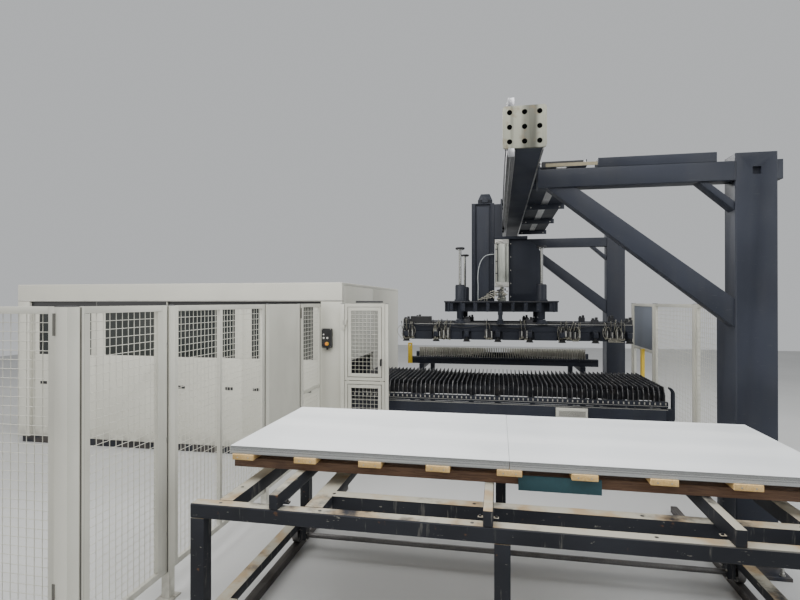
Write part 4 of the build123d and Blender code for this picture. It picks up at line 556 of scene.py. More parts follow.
def hose(path, radius, sides=8):
    """A round section carried along a path: ring i is path i + r (cos a u + sin a v), u and v square to the path."""
    path = np.asarray(path, float)
    tangent = np.gradient(path, axis=0)
    helper = np.eye(3)[int(np.argmin(np.ptp(path, axis=0)))] + 0.01
    u = np.cross(tangent, helper)
    u /= np.linalg.norm(u, axis=1, keepdims=True)
    v = np.cross(tangent, u)
    v /= np.linalg.norm(v, axis=1, keepdims=True)
    angle = np.linspace(0, 2 * np.pi, sides, endpoint=False)[None, :, None]
    ring = radius * (np.cos(angle) * u[:, None] + np.sin(angle) * v[:, None])
    caps = [np.arange(sides)[None], (np.arange(sides)[::-1] + (len(path) - 1) * sides)[None]]
    return (path[:, None] + ring).reshape(-1, 3), [ring_faces(len(path), sides)[:, ::-1], *caps]


def cut_plate(outline, axis, low, high):
    """A closed outline, counter-clockwise in the plane square to axis, carried from low to high."""
    outline = np.asarray(outline, float)
    count = len(outline)
    sides = [np.insert(outline, "xyz".index(axis), depth, axis=1) for depth in (low, high)]
    faces = [ring_faces(2, count), np.arange(count)[::-1][None], (np.arange(count) + count)[None]]
    if axis == "y":
        faces = [group[:, ::-1] for group in faces]
    return np.concatenate(sides), faces


def hex_heads(spots, axis, size, height):
    """Hexagon bolt heads on washers, standing out along an axis such as +x or -y from each place."""
    sign = -1.0 if axis[0] == "-" else 1.0
    washer, washer_faces = turned([(size * 1.05, 0.0), (size * 1.05, sign * height * 0.2)], axis[1], 14)
    head, head_faces = turned([(size * 0.86, sign * height * 0.2), (size * 0.86, sign * height * 0.9),
                               (size * 0.72, sign * height)], axis[1], 6)
    points = np.concatenate([washer, head])
    faces = washer_faces + [group + len(washer) for group in head_faces]
    if sign < 0:
        faces = [group[:, ::-1] for group in faces]
    return copies(points, faces, spots)


def box_of(node):
    """The low and high corners of a CAD node."""
    low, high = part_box(node)
    return np.array(low), np.array(high)


def free_hose(name, node, body, route, diameter, finish):
    """A round tube along one open NURBS spline of order 3, whose control points are the hose's route."""
    line = bpy.data.curves.new(name, "CURVE")
    line.dimensions = "3D"
    line.bevel_depth, line.bevel_resolution = diameter / 2, 3
    line.use_fill_caps = True
    spline = line.splines.new("NURBS")
    spline.points.add(len(route) - 1)
    spline.points.foreach_set("co", np.column_stack([route, np.ones(len(route))]).ravel())
    spline.order_u = 3
    spline.use_endpoint_u = True
    line.materials.append(finish)
    made = linked(name, line)
    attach(made, body)
    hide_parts(node)


def rounded(node, finish, edge):
    """A merged copy of a CAD solid with its sharp edges rolled over, in place of the solid."""
    bm = bmesh.new()
    bm.from_mesh(nodes[node].data)
    bmesh.ops.remove_doubles(bm, verts=bm.verts, dist=0.00002)
    bmesh.ops.dissolve_limit(bm, angle_limit=math.radians(0.5), verts=bm.verts, edges=bm.edges)
    mesh = bpy.data.meshes.new(node + "_dressed")
    bm.to_mesh(mesh)
    bm.free()
    mesh.materials.append(finish)
    made = linked(node + "_dressed", mesh)
    soften(made, edge)
    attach(made, nodes[node]["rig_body"])
    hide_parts(node)


def paint(node, finish):
    """Gives a CAD solid that stays its finish."""
    mesh = nodes[node].data
    mesh.materials.clear()
    mesh.materials.append(finish)


def rows(start, stop, pitch):
    """Evenly spaced places from start to stop at about the given pitch."""
    return np.linspace(start, stop, max(2, int(round(abs(stop - start) / pitch)) + 1))


def places(xs, ys, zs):
    """Every combination of three lists of coordinates."""
    return np.array([[x, y, z] for x in np.atleast_1d(xs) for y in np.atleast_1d(ys) for z in np.atleast_1d(zs)])


# Free hoses of the loader

free_hose("cylinder_hose", "air_hose", "carriage", (
    (2.319, 1.280, 2.723), (2.262, 1.280, 2.723), (2.188, 1.274, 2.702), (2.131, 1.267, 2.626), (2.101, 1.262, 2.518),
    (2.090, 1.263, 2.395), (2.098, 1.267, 2.270), (2.094, 1.272, 2.150), (2.094, 1.272, 2.078)),
    diameter=0.012, finish=air_line)
free_hose("looped_hose", "vacuum_hose", "lift", (
    (1.100, 1.059, 1.795), (1.100, 1.034, 1.795), (1.150, 1.020, 1.765), (1.265, 1.032, 1.724), (1.400, 1.046, 1.718),
    (1.540, 1.050, 1.735), (1.675, 1.046, 1.728), (1.800, 1.044, 1.700), (1.935, 1.048, 1.692), (2.070, 1.050, 1.712),
    (2.205, 1.046, 1.734), (2.340, 1.048, 1.730), (2.470, 1.044, 1.705), (2.605, 1.046, 1.688), (2.740, 1.050, 1.700),
    (2.880, 1.048, 1.728), (3.015, 1.044, 1.738), (3.150, 1.048, 1.716), (3.285, 1.050, 1.690), (3.420, 1.046, 1.694),
    (3.555, 1.044, 1.722), (3.695, 1.048, 1.740), (3.820, 1.044, 1.722), (3.925, 1.034, 1.728), (4.015, 1.020, 1.765),
    (4.065, 1.034, 1.795), (4.065, 1.059, 1.795)), diameter=0.010, finish=cable_jacket)


# Floor

mesh = bpy.data.meshes.new("ground")
mesh.from_pydata([(-16, -14, 0), (16, -14, 0), (16, 18, 0), (-16, 18, 0)], [], [(0, 1, 2, 3)])
mesh.materials.append(floor_finish)
linked("ground", mesh)


# CAD solids that keep their own shape

for finish, edge, names in (
        (deep_anthracite, 0.004, "machine_bed"), (beige, 0.006, "enclosure_panels"), (beige, 0.005, "fascia"),
        (beige, 0.006, "access_door"), (light_grey, 0.005, "cutting_bridge"), (zinc, 0.003, "head_slide"),
        (bright_metal, 0.002, "cutting_head"), (black_plastic, 0.002, "control_box"),
        (orange, 0.001, "emergency_stop"), (white_plastic, 0.001, "start_button stop_button"),
        (anthracite, 0.004, "changer_frame"), (rail_metal, 0.003, "pallet_rails"),
        (beige, 0.002, "junction_box"), (deep_anthracite, 0.003, "chain_guide"),
        (deep_anthracite, 0.004, "pallet_frame"), (anthracite, 0.004, "comb_frame"),
        (yellow, 0.002, "comb_marker"), (anthracite, 0.004, "comb_rails"),
        (anthracite, 0.005, "near_column far_column arms braces"), (anthracite, 0.003, "runway_beam"),
        (rail_metal, 0.002, "guide_rails"), (anthracite, 0.002, "cable_tray"),
        (deep_anthracite, 0.004, "carriage"), (deep_anthracite, 0.005, "left_mast"),
        (deep_anthracite, 0.006, "right_hood"), (profile_metal, 0.003, "cylinder"),
        (deep_anthracite, 0.003, "spider_plate"), (chrome_rod, 0.002, "guide_rods"),
        (deep_anthracite, 0.004, "vacuum_frame"), (cart_paint, 0.006, "cart_frame"),
        (cart_paint, 0.004, "cart_bearers"), (floor_metal, 0.006, "floor_rails"),
        (brown_wood, 0.003, "stock_beams"), (pale_wood, 0.003, "battens"), (teal, 0.001, "stock_board"),
        (fence_paint, 0.003, "fence_frames solid_panel"), (panel_grey, 0.002, "grey_panel"),
        (black_plastic, 0.002, "gate_latch")):
    for node in names.split():
        rounded(node, finish, edge)
paint("windows", pane)
paint("end_plate", plate_steel)


# Slats, tines and stock

def toothed_slats():
    """Each slat is an upright plate whose top edge is a row of shallow teeth between two bevelled noses. Notched
    holders cross the slats, and tabs and an edge strip close their front."""
    low, high = box_of("slats")
    count, thickness, nose, tooth = 66, 0.006, 0.09, 0.011
    y = rows(low[1] + 0.05, high[1] - 0.05, 0.0115)
    top = high[2] - tooth * np.tile([0.0, 1.0], len(y))[:len(y)]
    outline = np.concatenate([[[high[1], low[2]], [high[1], high[2] - nose]], np.stack([y, top], 1)[::-1],
                              [[low[1], high[2] - nose], [low[1], low[2]]]])[::-1]
    plate = cut_plate(outline, "x", -thickness / 2, thickness / 2)
    x = np.linspace(low[0] + 0.004, high[0] - 0.004, count)
    detail("toothed_slats", slat_finish, "pallet", copies(*plate, places(x, 0, 0)), smooth=False, instead_of="slats")
    gap = (x[1] - x[0]) / 2
    notch = np.stack([x[:-1] + gap, np.full(count - 1, high[2] - 0.055)], 1)
    edge = np.concatenate([notch - (gap * 0.55, 0.0), notch + (gap * 0.55, 0.0), notch + (gap, -0.05)], 1)
    outline = np.concatenate([[[x_end, low[2] - 0.002] for x_end in (low[0], high[0])], edge.reshape(-1, 2)[::-1]])
    plate = cut_plate(outline[::-1], "y", -0.003, 0.003)
    detail("slat_holders", slat_finish, "pallet",
           copies(*plate, places(0, low[1] + 0.09 + 0.24 * np.arange(6), 0)), smooth=False)
    detail("slat_tabs", tine_metal, "pallet", bars(places(x - 0.007, low[1] - 0.0305, low[2] - 0.034),
                                                   places(x + 0.007, low[1] - 0.029, low[2] - 0.006)))
    detail("pallet_edge_strip", zinc, "pallet", bars([low[0] - 0.02, low[1] - 0.0315, low[2] - 0.049],
                                                     [high[0] + 0.02, low[1] - 0.0295, low[2] - 0.044]))


def comb():
    """Pale tines with round-nosed caps on their front edges, and a bolted clamp bar along their feet."""
    rounded("comb_tines", tine_paint, 0.002)
    low, high = box_of("comb_tines")
    beam_low, beam_high = box_of("comb_frame")
    x = np.linspace(low[0] + 0.0045, high[0] - 0.0045, 70)
    cap = [(0.0, 0.0), (0.007, 0.0), (0.007, 0.012), (0.004, 0.014), (0.0, 0.0145)]
    detail("tine_caps", tine_paint, "comb", spun(cap, "z", 10, places(x, low[1] + 0.012, high[2] - 0.0145)))
    clamp_front = beam_low[1] - 0.006
    detail("comb_clamp_bar", deep_anthracite, "comb",
           bars([beam_low[0] + 0.02, clamp_front, beam_high[2] - 0.05],
                [beam_high[0] - 0.02, beam_low[1] + 0.001, beam_high[2] - 0.012]), bevel=0.002)
    spots = places(rows(beam_low[0] + 0.1, beam_high[0] - 0.1, 0.19), clamp_front, beam_high[2] - 0.031)
    detail("comb_bolts", dark_steel, "comb", hex_heads(spots, "-y", 0.009, 0.008))


def stacked_sheets():
    """Two packs of thin sheets, each sheet a plate shifted a little from its neighbours."""
    low, high = box_of("sheet_stacks")
    middle = (low[0] + high[0]) / 2
    generator = np.random.default_rng(7)
    thickness = 0.0031
    levels = np.arange(low[2], high[2] - thickness / 2, thickness)
    tops = np.minimum(levels + thickness - 0.0003, high[2])
    packs = []
    for left, right in ((low[0], middle - 0.001), (middle + 0.001, high[0])):
        shift = generator.uniform(0.0, 0.0016, (len(levels), 4))
        shift[-1] = 0.0
        packs.append(bars(np.stack([left + shift[:, 0], low[1] + shift[:, 1], levels], 1),
                          np.stack([right - shift[:, 2], high[1] - shift[:, 3], tops], 1)))
    detail("stacked_sheets", coating, "cart", *packs, smooth=False, instead_of="sheet_stacks")


def stock_nails():
    """Nail heads where the battens cross the side beams."""
    low, high = box_of("battens")
    x = (low[0] + high[0]) / 2 + 0.406 * np.arange(-4, 5)
    head = [(0.0045, 0.0), (0.0045, -0.0012), (0.0, -0.0016)]
    spots = np.concatenate([places(x + shift, low[1], low[2] + 0.016) for shift in (-0.035, 0.035)])
    detail("batten_nails", zinc, "cart", spun(head, "y", 8, spots))


toothed_slats()
comb()
stacked_sheets()
stock_nails()


# Fence

WIRE = 0.0022
MESH_PITCH = 0.05


def woven(plane_axis, plane, across, upright):
    """Upright and level wires at the mesh pitch, as two surfaces that touch at the plane."""
    side = rows(*across, MESH_PITCH)[1:-1]
    level = rows(*upright, MESH_PITCH)[1:-1]

    def at(depth, flat, height):
        """Points at one depth, across the plane at flat and up it at height."""
        flat, height = np.broadcast_arrays(flat, height)
        depth = np.full(flat.shape, depth)
        return np.stack([depth, flat, height] if plane_axis == "x" else [flat, depth, height], -1)

    front, behind = plane + WIRE, plane - WIRE
    return [rods(at(front, side, upright[0]), at(front, side, upright[1]), WIRE, 5),
            rods(at(behind, across[0], level), at(behind, across[1], level), WIRE, 5)]


def mesh_piece(name, node, plane_axis, panels):
    """The mesh of several panels in one plane, in place of its CAD node."""
    low, high = box_of(node)
    middle = (low + high) / 2
    upright = (low[2] - 0.004, high[2] + 0.004)
    wires = sum((woven(plane_axis, middle["xyz".index(plane_axis)], across, upright) for across in panels), [])
    detail(name, fence_paint, "machine", *wires, smooth=False, instead_of=node)


def framed_leaf(name, node, plane_axis, openings, tubes):
    """A leaf of square tubes with wire mesh in its openings, on the body that is named like its CAD node."""
    detail(name, fence_paint, node, bars(*tubes), bevel=0.003, instead_of=node)
    wires = sum((woven(plane_axis, *opening) for opening in openings), [])
    detail(name + "_mesh", fence_paint, node, *wires, smooth=False)


def ring_of_tubes(x, y, z, width, plane_axis):
    """Four square tubes round an opening, as low and high corners: two uprights, then two rails between them."""
    flat = x if plane_axis == "y" else y
    inner = (flat[0] + width, flat[1] - width)
    spans = [((flat[0], inner[0]), z), ((inner[1], flat[1]), z),
             (inner, (z[0], z[0] + width)), (inner, (z[1] - width, z[1]))]
    tubes = [(side, y, level) if plane_axis == "y" else (x, side, level) for side, level in spans]
    return [[tuple(span[end] for span in tube) for tube in tubes] for end in (0, 1)]


FENCE_X, RIGHT_FENCE_X = 0.125, 4.435
LEFT_POSTS_Y, CORNER_Y = (-2.92, -1.41, -0.5), -3.78
RIGHT_POSTS_Y = (-0.94, -0.19, 1.26, 2.36)
FAR_POST, STOP_POST = (-0.935, CORNER_Y), (1.02, 0.115)
LEAF_FOOT, POST_TOP = 0.19, 2.025
FIRST_PANEL = (-3.6797, -3.0103)
HINGE_Z, HINGE_HEIGHT = (0.4203, 1.7603), 0.06


def hinge_plates(low, high):
    """The hinge plates of a leaf, from the x and y of their corners, as low and high corners."""
    return [(*low, z) for z in HINGE_Z], [(*high, z + HINGE_HEIGHT) for z in HINGE_Z]


def knuckles(name, body, axis):
    """The knuckles of a leaf's hinges."""
    profile = [(0.009, 0.0), (0.009, HINGE_HEIGHT)]
    detail(name, zinc, body, spun(profile, "z", 16, [(*axis, z) for z in HINGE_Z]))


def gate_leaf():
    """Two frames, one above the other and joined by short tubes, each with an inner frame round its mesh."""
    x, y, mesh_inset = (0.477, 0.996), (0.100, 0.130), 0.086
    lows, highs, openings = [], [], []
    for z in ((LEAF_FOOT, 1.058), (1.066, POST_TOP)):
        for inset, width in ((0.0, 0.038), (0.046, 0.040)):
            ring = ring_of_tubes((x[0] + inset, x[1] - inset), y, (z[0] + inset, z[1] - inset), width, "y")
            lows += ring[0]
            highs += ring[1]
        openings.append((0.115, (x[0] + mesh_inset, x[1] - mesh_inset), (z[0] + mesh_inset, z[1] - mesh_inset)))
    for joint_x in (x[0] + 0.02, x[1] - 0.06):
        lows.append((joint_x, 0.108, 1.05))
        highs.append((joint_x + 0.04, 0.122, 1.075))
    plates = hinge_plates((0.477, 0.081), (0.505, 0.100))
    framed_leaf("gate_leaf", "gate", "y", openings, (lows + plates[0], highs + plates[1]))
    knuckles("gate_knuckles", "gate", (0.475, 0.081))


def narrow_leaf():
    """One frame with a middle rail, and mesh above and below it."""
    x, y, width, rail = (0.110, 0.140), (-0.468, 0.165), 0.04, (0.965, 1.005)
    inner = (y[0] + width, y[1] - width)
    lows, highs = ring_of_tubes(x, y, (LEAF_FOOT, POST_TOP), width, "x")
    plates = hinge_plates((0.085, -0.468), (0.112, -0.440))
    openings = [(FENCE_X, inner, span) for span in ((0.23, rail[0]), (rail[1], 1.985))]
    framed_leaf("narrow_leaf", "narrow_door", "x", openings, (
        [*lows, (x[0], inner[0], rail[0]), *plates[0]], [*highs, (x[1], inner[1], rail[1]), *plates[1]]))
    knuckles("narrow_knuckles", "narrow_door", (0.085, -0.47))


def fence_posts():
    """Anchor bolts on both sides of each post, and a low pyramid as the cap on its top."""
    posts = [(FENCE_X, y) for y in (*LEFT_POSTS_Y, CORNER_Y)] + [FAR_POST]
    posts += [(RIGHT_FENCE_X, y) for y in RIGHT_POSTS_Y] + [STOP_POST]
    spots = [(x, y + step, 0.01) if x == RIGHT_FENCE_X else (x + step, y, 0.01)
             for x, y in posts for step in (-0.049, 0.049)]
    detail("post_anchors", zinc, "machine", hex_heads(spots, "+z", 0.008, 0.012))
    usual_width = 0.060
    points, faces = turned([(0.0425, -0.002), (0.0425, 0.0), (0.030, 0.004), (0.0, 0.004)], "z", 4)
    points = points @ np.array([[0.7071, 0.7071, 0], [-0.7071, 0.7071, 0], [0, 0, 1]])
    usual = [(FENCE_X, y) for y in LEFT_POSTS_Y] + [FAR_POST] + [(RIGHT_FENCE_X, y) for y in RIGHT_POSTS_Y]
    caps = [copies(points * (width / usual_width, width / usual_width, 1.0), faces, [(*top, POST_TOP) for top in tops])
            for width, tops in ((usual_width, usual), (0.080, [(FENCE_X, CORNER_Y)]), (0.048, [(0.451, 0.115)]),
                                (0.040, [STOP_POST]))]
    detail("post_caps", black_plastic, "machine", *caps, smooth=False)


def fence_trim():
    """The folded marker strip, dark strips of painted shade in the gaps between panels and posts, the first panel's
    inner stiles, and panel clips.
    """
    low, high = box_of("fence_marker")
    detail("fence_marker_angle", yellow, "machine",
           bars([[low[0] - 0.026, low[1], low[2]], [low[0] - 0.026, low[1] + 0.003, low[2]]],
                [[high[0], low[1] + 0.003, high[2]], [low[0] - 0.023, high[1], high[2]]]),
           bars([high[0] - 0.003, low[1] + 0.003, low[2]], high), bevel=0.0008, instead_of="fence_marker")
    # Dark strips in the gaps between panel stiles and posts: painted shade where the gaps are in shadow.
    gap_shades = [((0.1435, y - 0.004, 0.195), (0.1462, y + 0.004, 2.020))
             for y in (-3.706, -2.954, -2.886, -1.444, -1.376, -0.534)]
    gap_shades += [((0.0795, -3.8018, 0.195), (0.0865, -3.7990, 2.020)),
              ((-0.9050, -3.8018, 0.195), (-0.8980, -3.7990, 2.020)),
              ((0.0765, -3.8230, 1.871), (0.0925, -3.8180, 1.989)), ((0.0765, -3.8230, 0.45), (0.0925, -3.8180, 0.57)),
              ((0.4745, 0.0985, 0.20), (0.4765, 0.1010, 2.02)), ((0.150, -0.536, 1.86), (0.157, -0.520, 1.98))]
    detail("gap_shade_strips", gap_shade_rubber, "machine", bars(*zip(*gap_shades)), smooth=False)
    stiles = ring_of_tubes((0.108, 0.142), FIRST_PANEL, (0.232, 1.983), 0.042, "x")
    detail("panel_inner_stiles", fence_paint, "machine", bars(stiles[0][:2], stiles[1][:2]), bevel=0.002)
    clips = np.array([(FENCE_X, y, z) for z in (0.45, 1.1, 1.75) for y in (-3.74, -2.95, -2.89, -1.44)])
    detail("panel_clips", zinc, "machine", bars(clips - (0.019, 0.012, 0.02), clips + (0.019, 0.012, 0.02)),
           bevel=0.002)


mesh_piece("left_wires", "left_mesh", "x", [FIRST_PANEL, (-2.8297, -2.27), (-2.23, -1.5003)])
mesh_piece("right_wires", "right_mesh", "x", [(-0.8697, -0.2603), (-0.1197, 1.1897)])
front_low, front_high = box_of("front_mesh")
mesh_piece("front_wires", "front_mesh", "y", [(front_low[0] - 0.0003, front_high[0] + 0.0003)])
gate_leaf()
narrow_leaf()
fence_posts()
fence_trim()


# Gantry and runway

ARM_FRAMES_Y = (-1.75, 3.06)


def gantry():
    """Anchor bolts with nuts, bolts of the arm brackets, and weld beads where arms and braces meet."""
    for plate_y, name in ((-1.57, "near"), (3.24, "far")):
        spots = places((4.3225 - 0.1175, 4.3225 + 0.1175), (plate_y - 0.29, plate_y + 0.29), 0.025)
        detail(name + "_anchor_nuts", zinc, "machine", hex_heads(spots, "+z", 0.019, 0.022),
               rods(spots + (0, 0, 0.02), spots + (0, 0, 0.052), 0.011, 10))
    spots = np.concatenate([places(2.715, (y + 0.035, y + 0.115), (3.20, 3.28, 3.36)) for y in ARM_FRAMES_Y])
    detail("arm_bracket_bolts", zinc, "machine", hex_heads(spots, "+x", 0.014, 0.012))
    welds = []
    for y in ARM_FRAMES_Y:
        welds += [hose(np.linspace((x0, corner, z0), (x1, corner, z1), 30), 0.0045, 6)
                  for corner in (y + 0.018, y + 0.132)
                  for x0, z0, x1, z1 in ((2.78, 2.989, 2.99, 2.989), (4.174, 1.86, 4.174, 2.07))]
        welds += [hose(np.linspace((4.173, edge, 2.992), (4.173, edge, 3.138), 16), 0.005, 6)
                  for edge in (y + 0.002, y + 0.148)]
    detail("weld_beads", anthracite, "machine", *welds)


def runway():
    """Rack teeth and screws of the guide rails, black plugs of painted shade in the end plate's holes, bright strips
    of painted highlight along the beam's lower edges, and the dressed cable tray with its bright strips.
    """
    low, high = box_of("guide_rails")
    front, back = low[1] + 0.03, high[1] - 0.01
    tooth = cut_plate([(0.0, -0.0065), (0.0, 0.0065), (-0.0032, 0.0035), (-0.0032, -0.0035)], "z", -0.018, 0.018)
    detail("rack_teeth", rail_metal, "machine", copies(*tooth, places(2.4402, np.arange(front, back, 0.0195), 3.193)),
           smooth=False)
    head = [(0.0075, 0.0), (0.0075, -0.004), (0.005, -0.0045), (0.0, -0.0035)]
    detail("rail_screws", zinc, "machine",
           spun(head, "x", 12, places(2.4601, rows(front + 0.04, back - 0.04, 0.12), (3.144, 3.438))))
    low, high = box_of("end_plate")
    middle, step = (low + high) / 2, 0.104 * np.array([-1, 0, 1])
    hole = [(0.0, 0.012), (0.0185, 0.012), (0.0185, -0.0008), (0.0, -0.0008)]
    # Black plugs set into the end plate's holes: painted shade where the holes are deep and dark.
    detail("end_plate_hole_shade", hole_shade, "machine",
           spun(hole, "y", 24, places(middle[0] + step, low[1], middle[2] + step)), smooth=False)
    detail("arm_tray_liner", tray_liner, "machine", bars([2.760, -1.7530, 3.158], [3.165, -1.7505, 3.186]),
           bevel=0.001)
    # Bright strips along the runway beam's two lower edges: a painted highlight where the edges catch the light.
    detail("beam_edge_highlights", bright_metal, "machine", bars([2.684, -2.36, 3.1345], [2.696, 3.44, 3.1405]),
           bars([2.492, -2.36, 3.1345], [2.500, 3.44, 3.1405]), bevel=0.001)
    detail("tray_strip", bright_metal, "machine", bars([2.875, -1.50, 3.209], [2.955, 3.0, 3.2152]),
           bars([2.735, -1.5, 3.2235], [2.745, 3.0, 3.262]), bars([3.105, -1.5, 3.2235], [3.115, 3.0, 3.262]),
           bevel=0.001)
    cables = []
    generator = np.random.default_rng(11)
    y = np.linspace(-1.45, 2.95, 12)
    for index, radius in enumerate((0.011, 0.008, 0.013, 0.009, 0.007, 0.012, 0.010)):
        x = 2.77 + 0.048 * index + generator.uniform(-0.008, 0.008, len(y))
        cables.append(hose(curve_through(np.stack([x, y, np.full(len(y), 3.2235 + radius)], 1), 6), radius))
    detail("tray_cables", cable_jacket, "machine", *cables)
    detail("tray_end_boxes", black_plastic, "machine",
           bars([(2.752, -1.50, 3.2165), (2.752, 2.93, 3.2165)], [(3.098, -1.43, 3.27), (3.098, 3.00, 3.27)]),
           bevel=0.004)
    spots = np.concatenate([places((2.76, 3.09), y - 0.005, 3.175) for y in (-0.94, 0.21, 1.36, 2.51)])
    detail("bracket_bolts", zinc, "machine", hex_heads(spots, "-y", 0.009, 0.008))
    ties = places(2.75, rows(-1.3, 2.8, 0.6), 3.246)
    detail("cable_ties", black_plastic, "machine", bars(ties - (0, 0.003, 0.001), ties + (0.35, 0.003, 0.001)))


gantry()
runway()


# Loader

PIPE_RADIUS = 0.0045
PAN_HEAD = [(0.007, 0.0), (0.007, -0.003), (0.0045, -0.0045), (0.0, -0.0045)]
SMALL_HEAD = [(0.004, 0.0), (0.004, -0.001), (0.0, -0.0018)]


def mast_dress():
    """Screws down the mast's flanges, a raised centre panel, and the motor's fins and terminal box."""
    low, high = box_of("left_mast")
    motor_low, motor_high = np.array([2.095, 1.350, 3.456]), np.array([2.291, 1.570, 3.603])
    spots = places((low[0] + 0.027, high[0] - 0.027), low[1], rows(low[2] + 0.08, motor_low[2] - 0.1, 0.16))
    detail("mast_screws", dark_steel, "carriage", spun(PAN_HEAD, "y", 10, spots))
    detail("mast_panel", anthracite, "carriage",
           bars([low[0] + 0.075, low[1] + 0.017, low[2] + 0.03],
                [high[0] - 0.075, low[1] + 0.026, motor_low[2] - 0.05]), bevel=0.003)
    fins = [bars([*(motor_low[:2] - 0.004), z - 0.0015], [*(motor_high[:2] + 0.004), z + 0.0015])
            for z in rows(motor_low[2] + 0.012, motor_low[2] + 0.052, 0.008)]
    detail("motor_fins", deep_anthracite, "carriage", *fins)
    middle_x = (motor_low[0] + motor_high[0]) / 2
    detail("motor_terminal_box", deep_anthracite, "carriage",
           bars([middle_x - 0.04, motor_low[1] - 0.035, motor_low[2] + 0.01],
                [middle_x + 0.04, motor_low[1] - 0.003, motor_low[2] + 0.075]), bevel=0.004)


def hood_dress():
    """Screws down both edges of the hood, and a low cover on its front."""
    low, high = box_of("right_hood")
    spots = np.concatenate([places(low[0] + 0.02, low[1], rows(low[2] + 0.06, high[2] - 0.06, 0.2)),
                            places(high[0] - 0.02, low[1], rows(low[2] + 0.06, high[2] - 0.34, 0.2))])
    detail("hood_screws", zinc, "carriage", spun(PAN_HEAD, "y", 10, spots))
    detail("hood_cover", deep_anthracite, "carriage",
           bars([low[0] + 0.05, low[1] - 0.002, low[2] + 0.10], [high[0] - 0.06, low[1] + 0.001, low[2] + 0.42]),
           bevel=0.0015)


def cylinder_foot(front):
    """Valves, fittings and rigid formed pipes at the cylinder's foot, scattered by a fixed random draw."""
    generator = np.random.default_rng(23)
    dark, pale, pipes = [], [], []
    for index in range(14):
        size = generator.uniform((0.018, 0.012, 0.020), (0.050, 0.028, 0.048))
        corner = np.array([generator.uniform(2.30, 2.51 - size[0]), front - 0.002 - size[1],
                           generator.uniform(2.066, 2.250 - size[2])])
        (dark if index % 3 else pale).append(bars(corner, corner + size + (0, 0.004, 0)))
    knob = [(0.0, -0.030), (0.007, -0.030), (0.007, -0.016), (0.012, -0.014), (0.012, 0.0), (0.0, 0.0)]
    pale.append(spun(knob, "y", 12, np.column_stack([
        generator.uniform(2.31, 2.50, 12), np.full(12, front - 0.022), generator.uniform(2.08, 2.24, 12)])))
    for z, reach in ((2.098, 2.10), (2.122, 2.14), (2.146, 2.19), (2.176, 2.22)):
        corners = [(2.335, front - 0.020, z + 0.028), (2.30, front - 0.022, z + 0.024),
                   (2.26, front - 0.020, z + 0.008), (reach + 0.02, front - 0.010, z - 0.012),
                   (reach, front - 0.006, z - 0.022), (reach - 0.002, front - 0.006, 2.066)]
        pipes.append(hose(curve_through(corners, 7), PIPE_RADIUS))
    detail("foot_valves", dark_steel, "carriage", *dark, bevel=0.002)
    detail("foot_fittings", brass, "carriage", *pale, bevel=0.001)
    detail("foot_formed_pipes", brass, "carriage", *pipes)


def cylinder_dress():
    """Grooves of the profile as dark lines of painted shade, caps with screws, and a formed pipe clipped down between
    two ports.
    """
    front = box_of("cylinder")[0][1]
    x0, x1 = 2.335, 2.520
    groove_z = (2.335, 2.915)
    # Dark bars in the profile's grooves: painted shade where the grooves are in shadow.
    groove_shades = [bars([x - 0.006, front - 0.0008, groove_z[0]], [x + 0.006, front + 0.002, groove_z[1]])
               for x in (x0 + 0.035, x0 + 0.150)]
    groove_shades += [bars([x0 - 0.0008, y - 0.005, groove_z[0]], [x0 + 0.002, y + 0.005, groove_z[1]])
                for y in (front + 0.045, front + 0.125)]
    detail("cylinder_groove_shade", black_plastic, "carriage", *groove_shades)
    cylinder_foot(front)
    cap_front = front - 0.004
    detail("cylinder_caps", zinc, "carriage", *[
        bars([x0 - 0.004, cap_front, z], [x1 + 0.004, front + 0.174, z + 0.062]) for z in (2.26, 2.868)], bevel=0.004)
    head = [(0.008, 0.0), (0.008, -0.006), (0.004, -0.006), (0.0, -0.003)]
    detail("cylinder_screws", zinc, "carriage",
           spun(head, "y", 10, places((x0 + 0.02, x1 - 0.02), cap_front, (2.275, 2.305, 2.885, 2.915))))
    fitting = [(0.010, 0.0), (0.010, -0.014), (0.007, -0.016), (0.007, -0.030), (0.0, -0.030)]
    port_x, bend_x, out, ports_z = x0 + 0.09, x0 + 0.045, front - 0.030, (2.895, 2.29)
    detail("cylinder_ports", zinc, "carriage", spun(fitting, "y", 12, [(port_x, cap_front, z) for z in ports_z]))
    pipe_x, pipe_y = x0 + 0.018, front - 0.0075
    corners = [(port_x, out, ports_z[0]), (bend_x, out, ports_z[0]), (pipe_x, front - 0.022, 2.880),
               (pipe_x, pipe_y, 2.850), (pipe_x, pipe_y, 2.60), (pipe_x, pipe_y, 2.34), (pipe_x, front - 0.022, 2.305),
               (bend_x, out, ports_z[1]), (port_x, out, ports_z[1])]
    detail("cylinder_formed_pipe", brass, "carriage", hose(curve_through(corners, 8), PIPE_RADIUS))
    clips = np.array([(pipe_x, front - 0.006, z) for z in (2.45, 2.62, 2.79)])
    detail("cylinder_pipe_clips", black_plastic, "carriage",
           bars(clips - (0.014, 0.007, 0.007), clips + (0.014, 0.006, 0.007)), bevel=0.002)


def rod_centres():
    """The x and y of the four guide rods."""
    low, high = box_of("guide_rods")
    return (low[0] + 0.045, high[0] - 0.045), (1.11, 2.21)


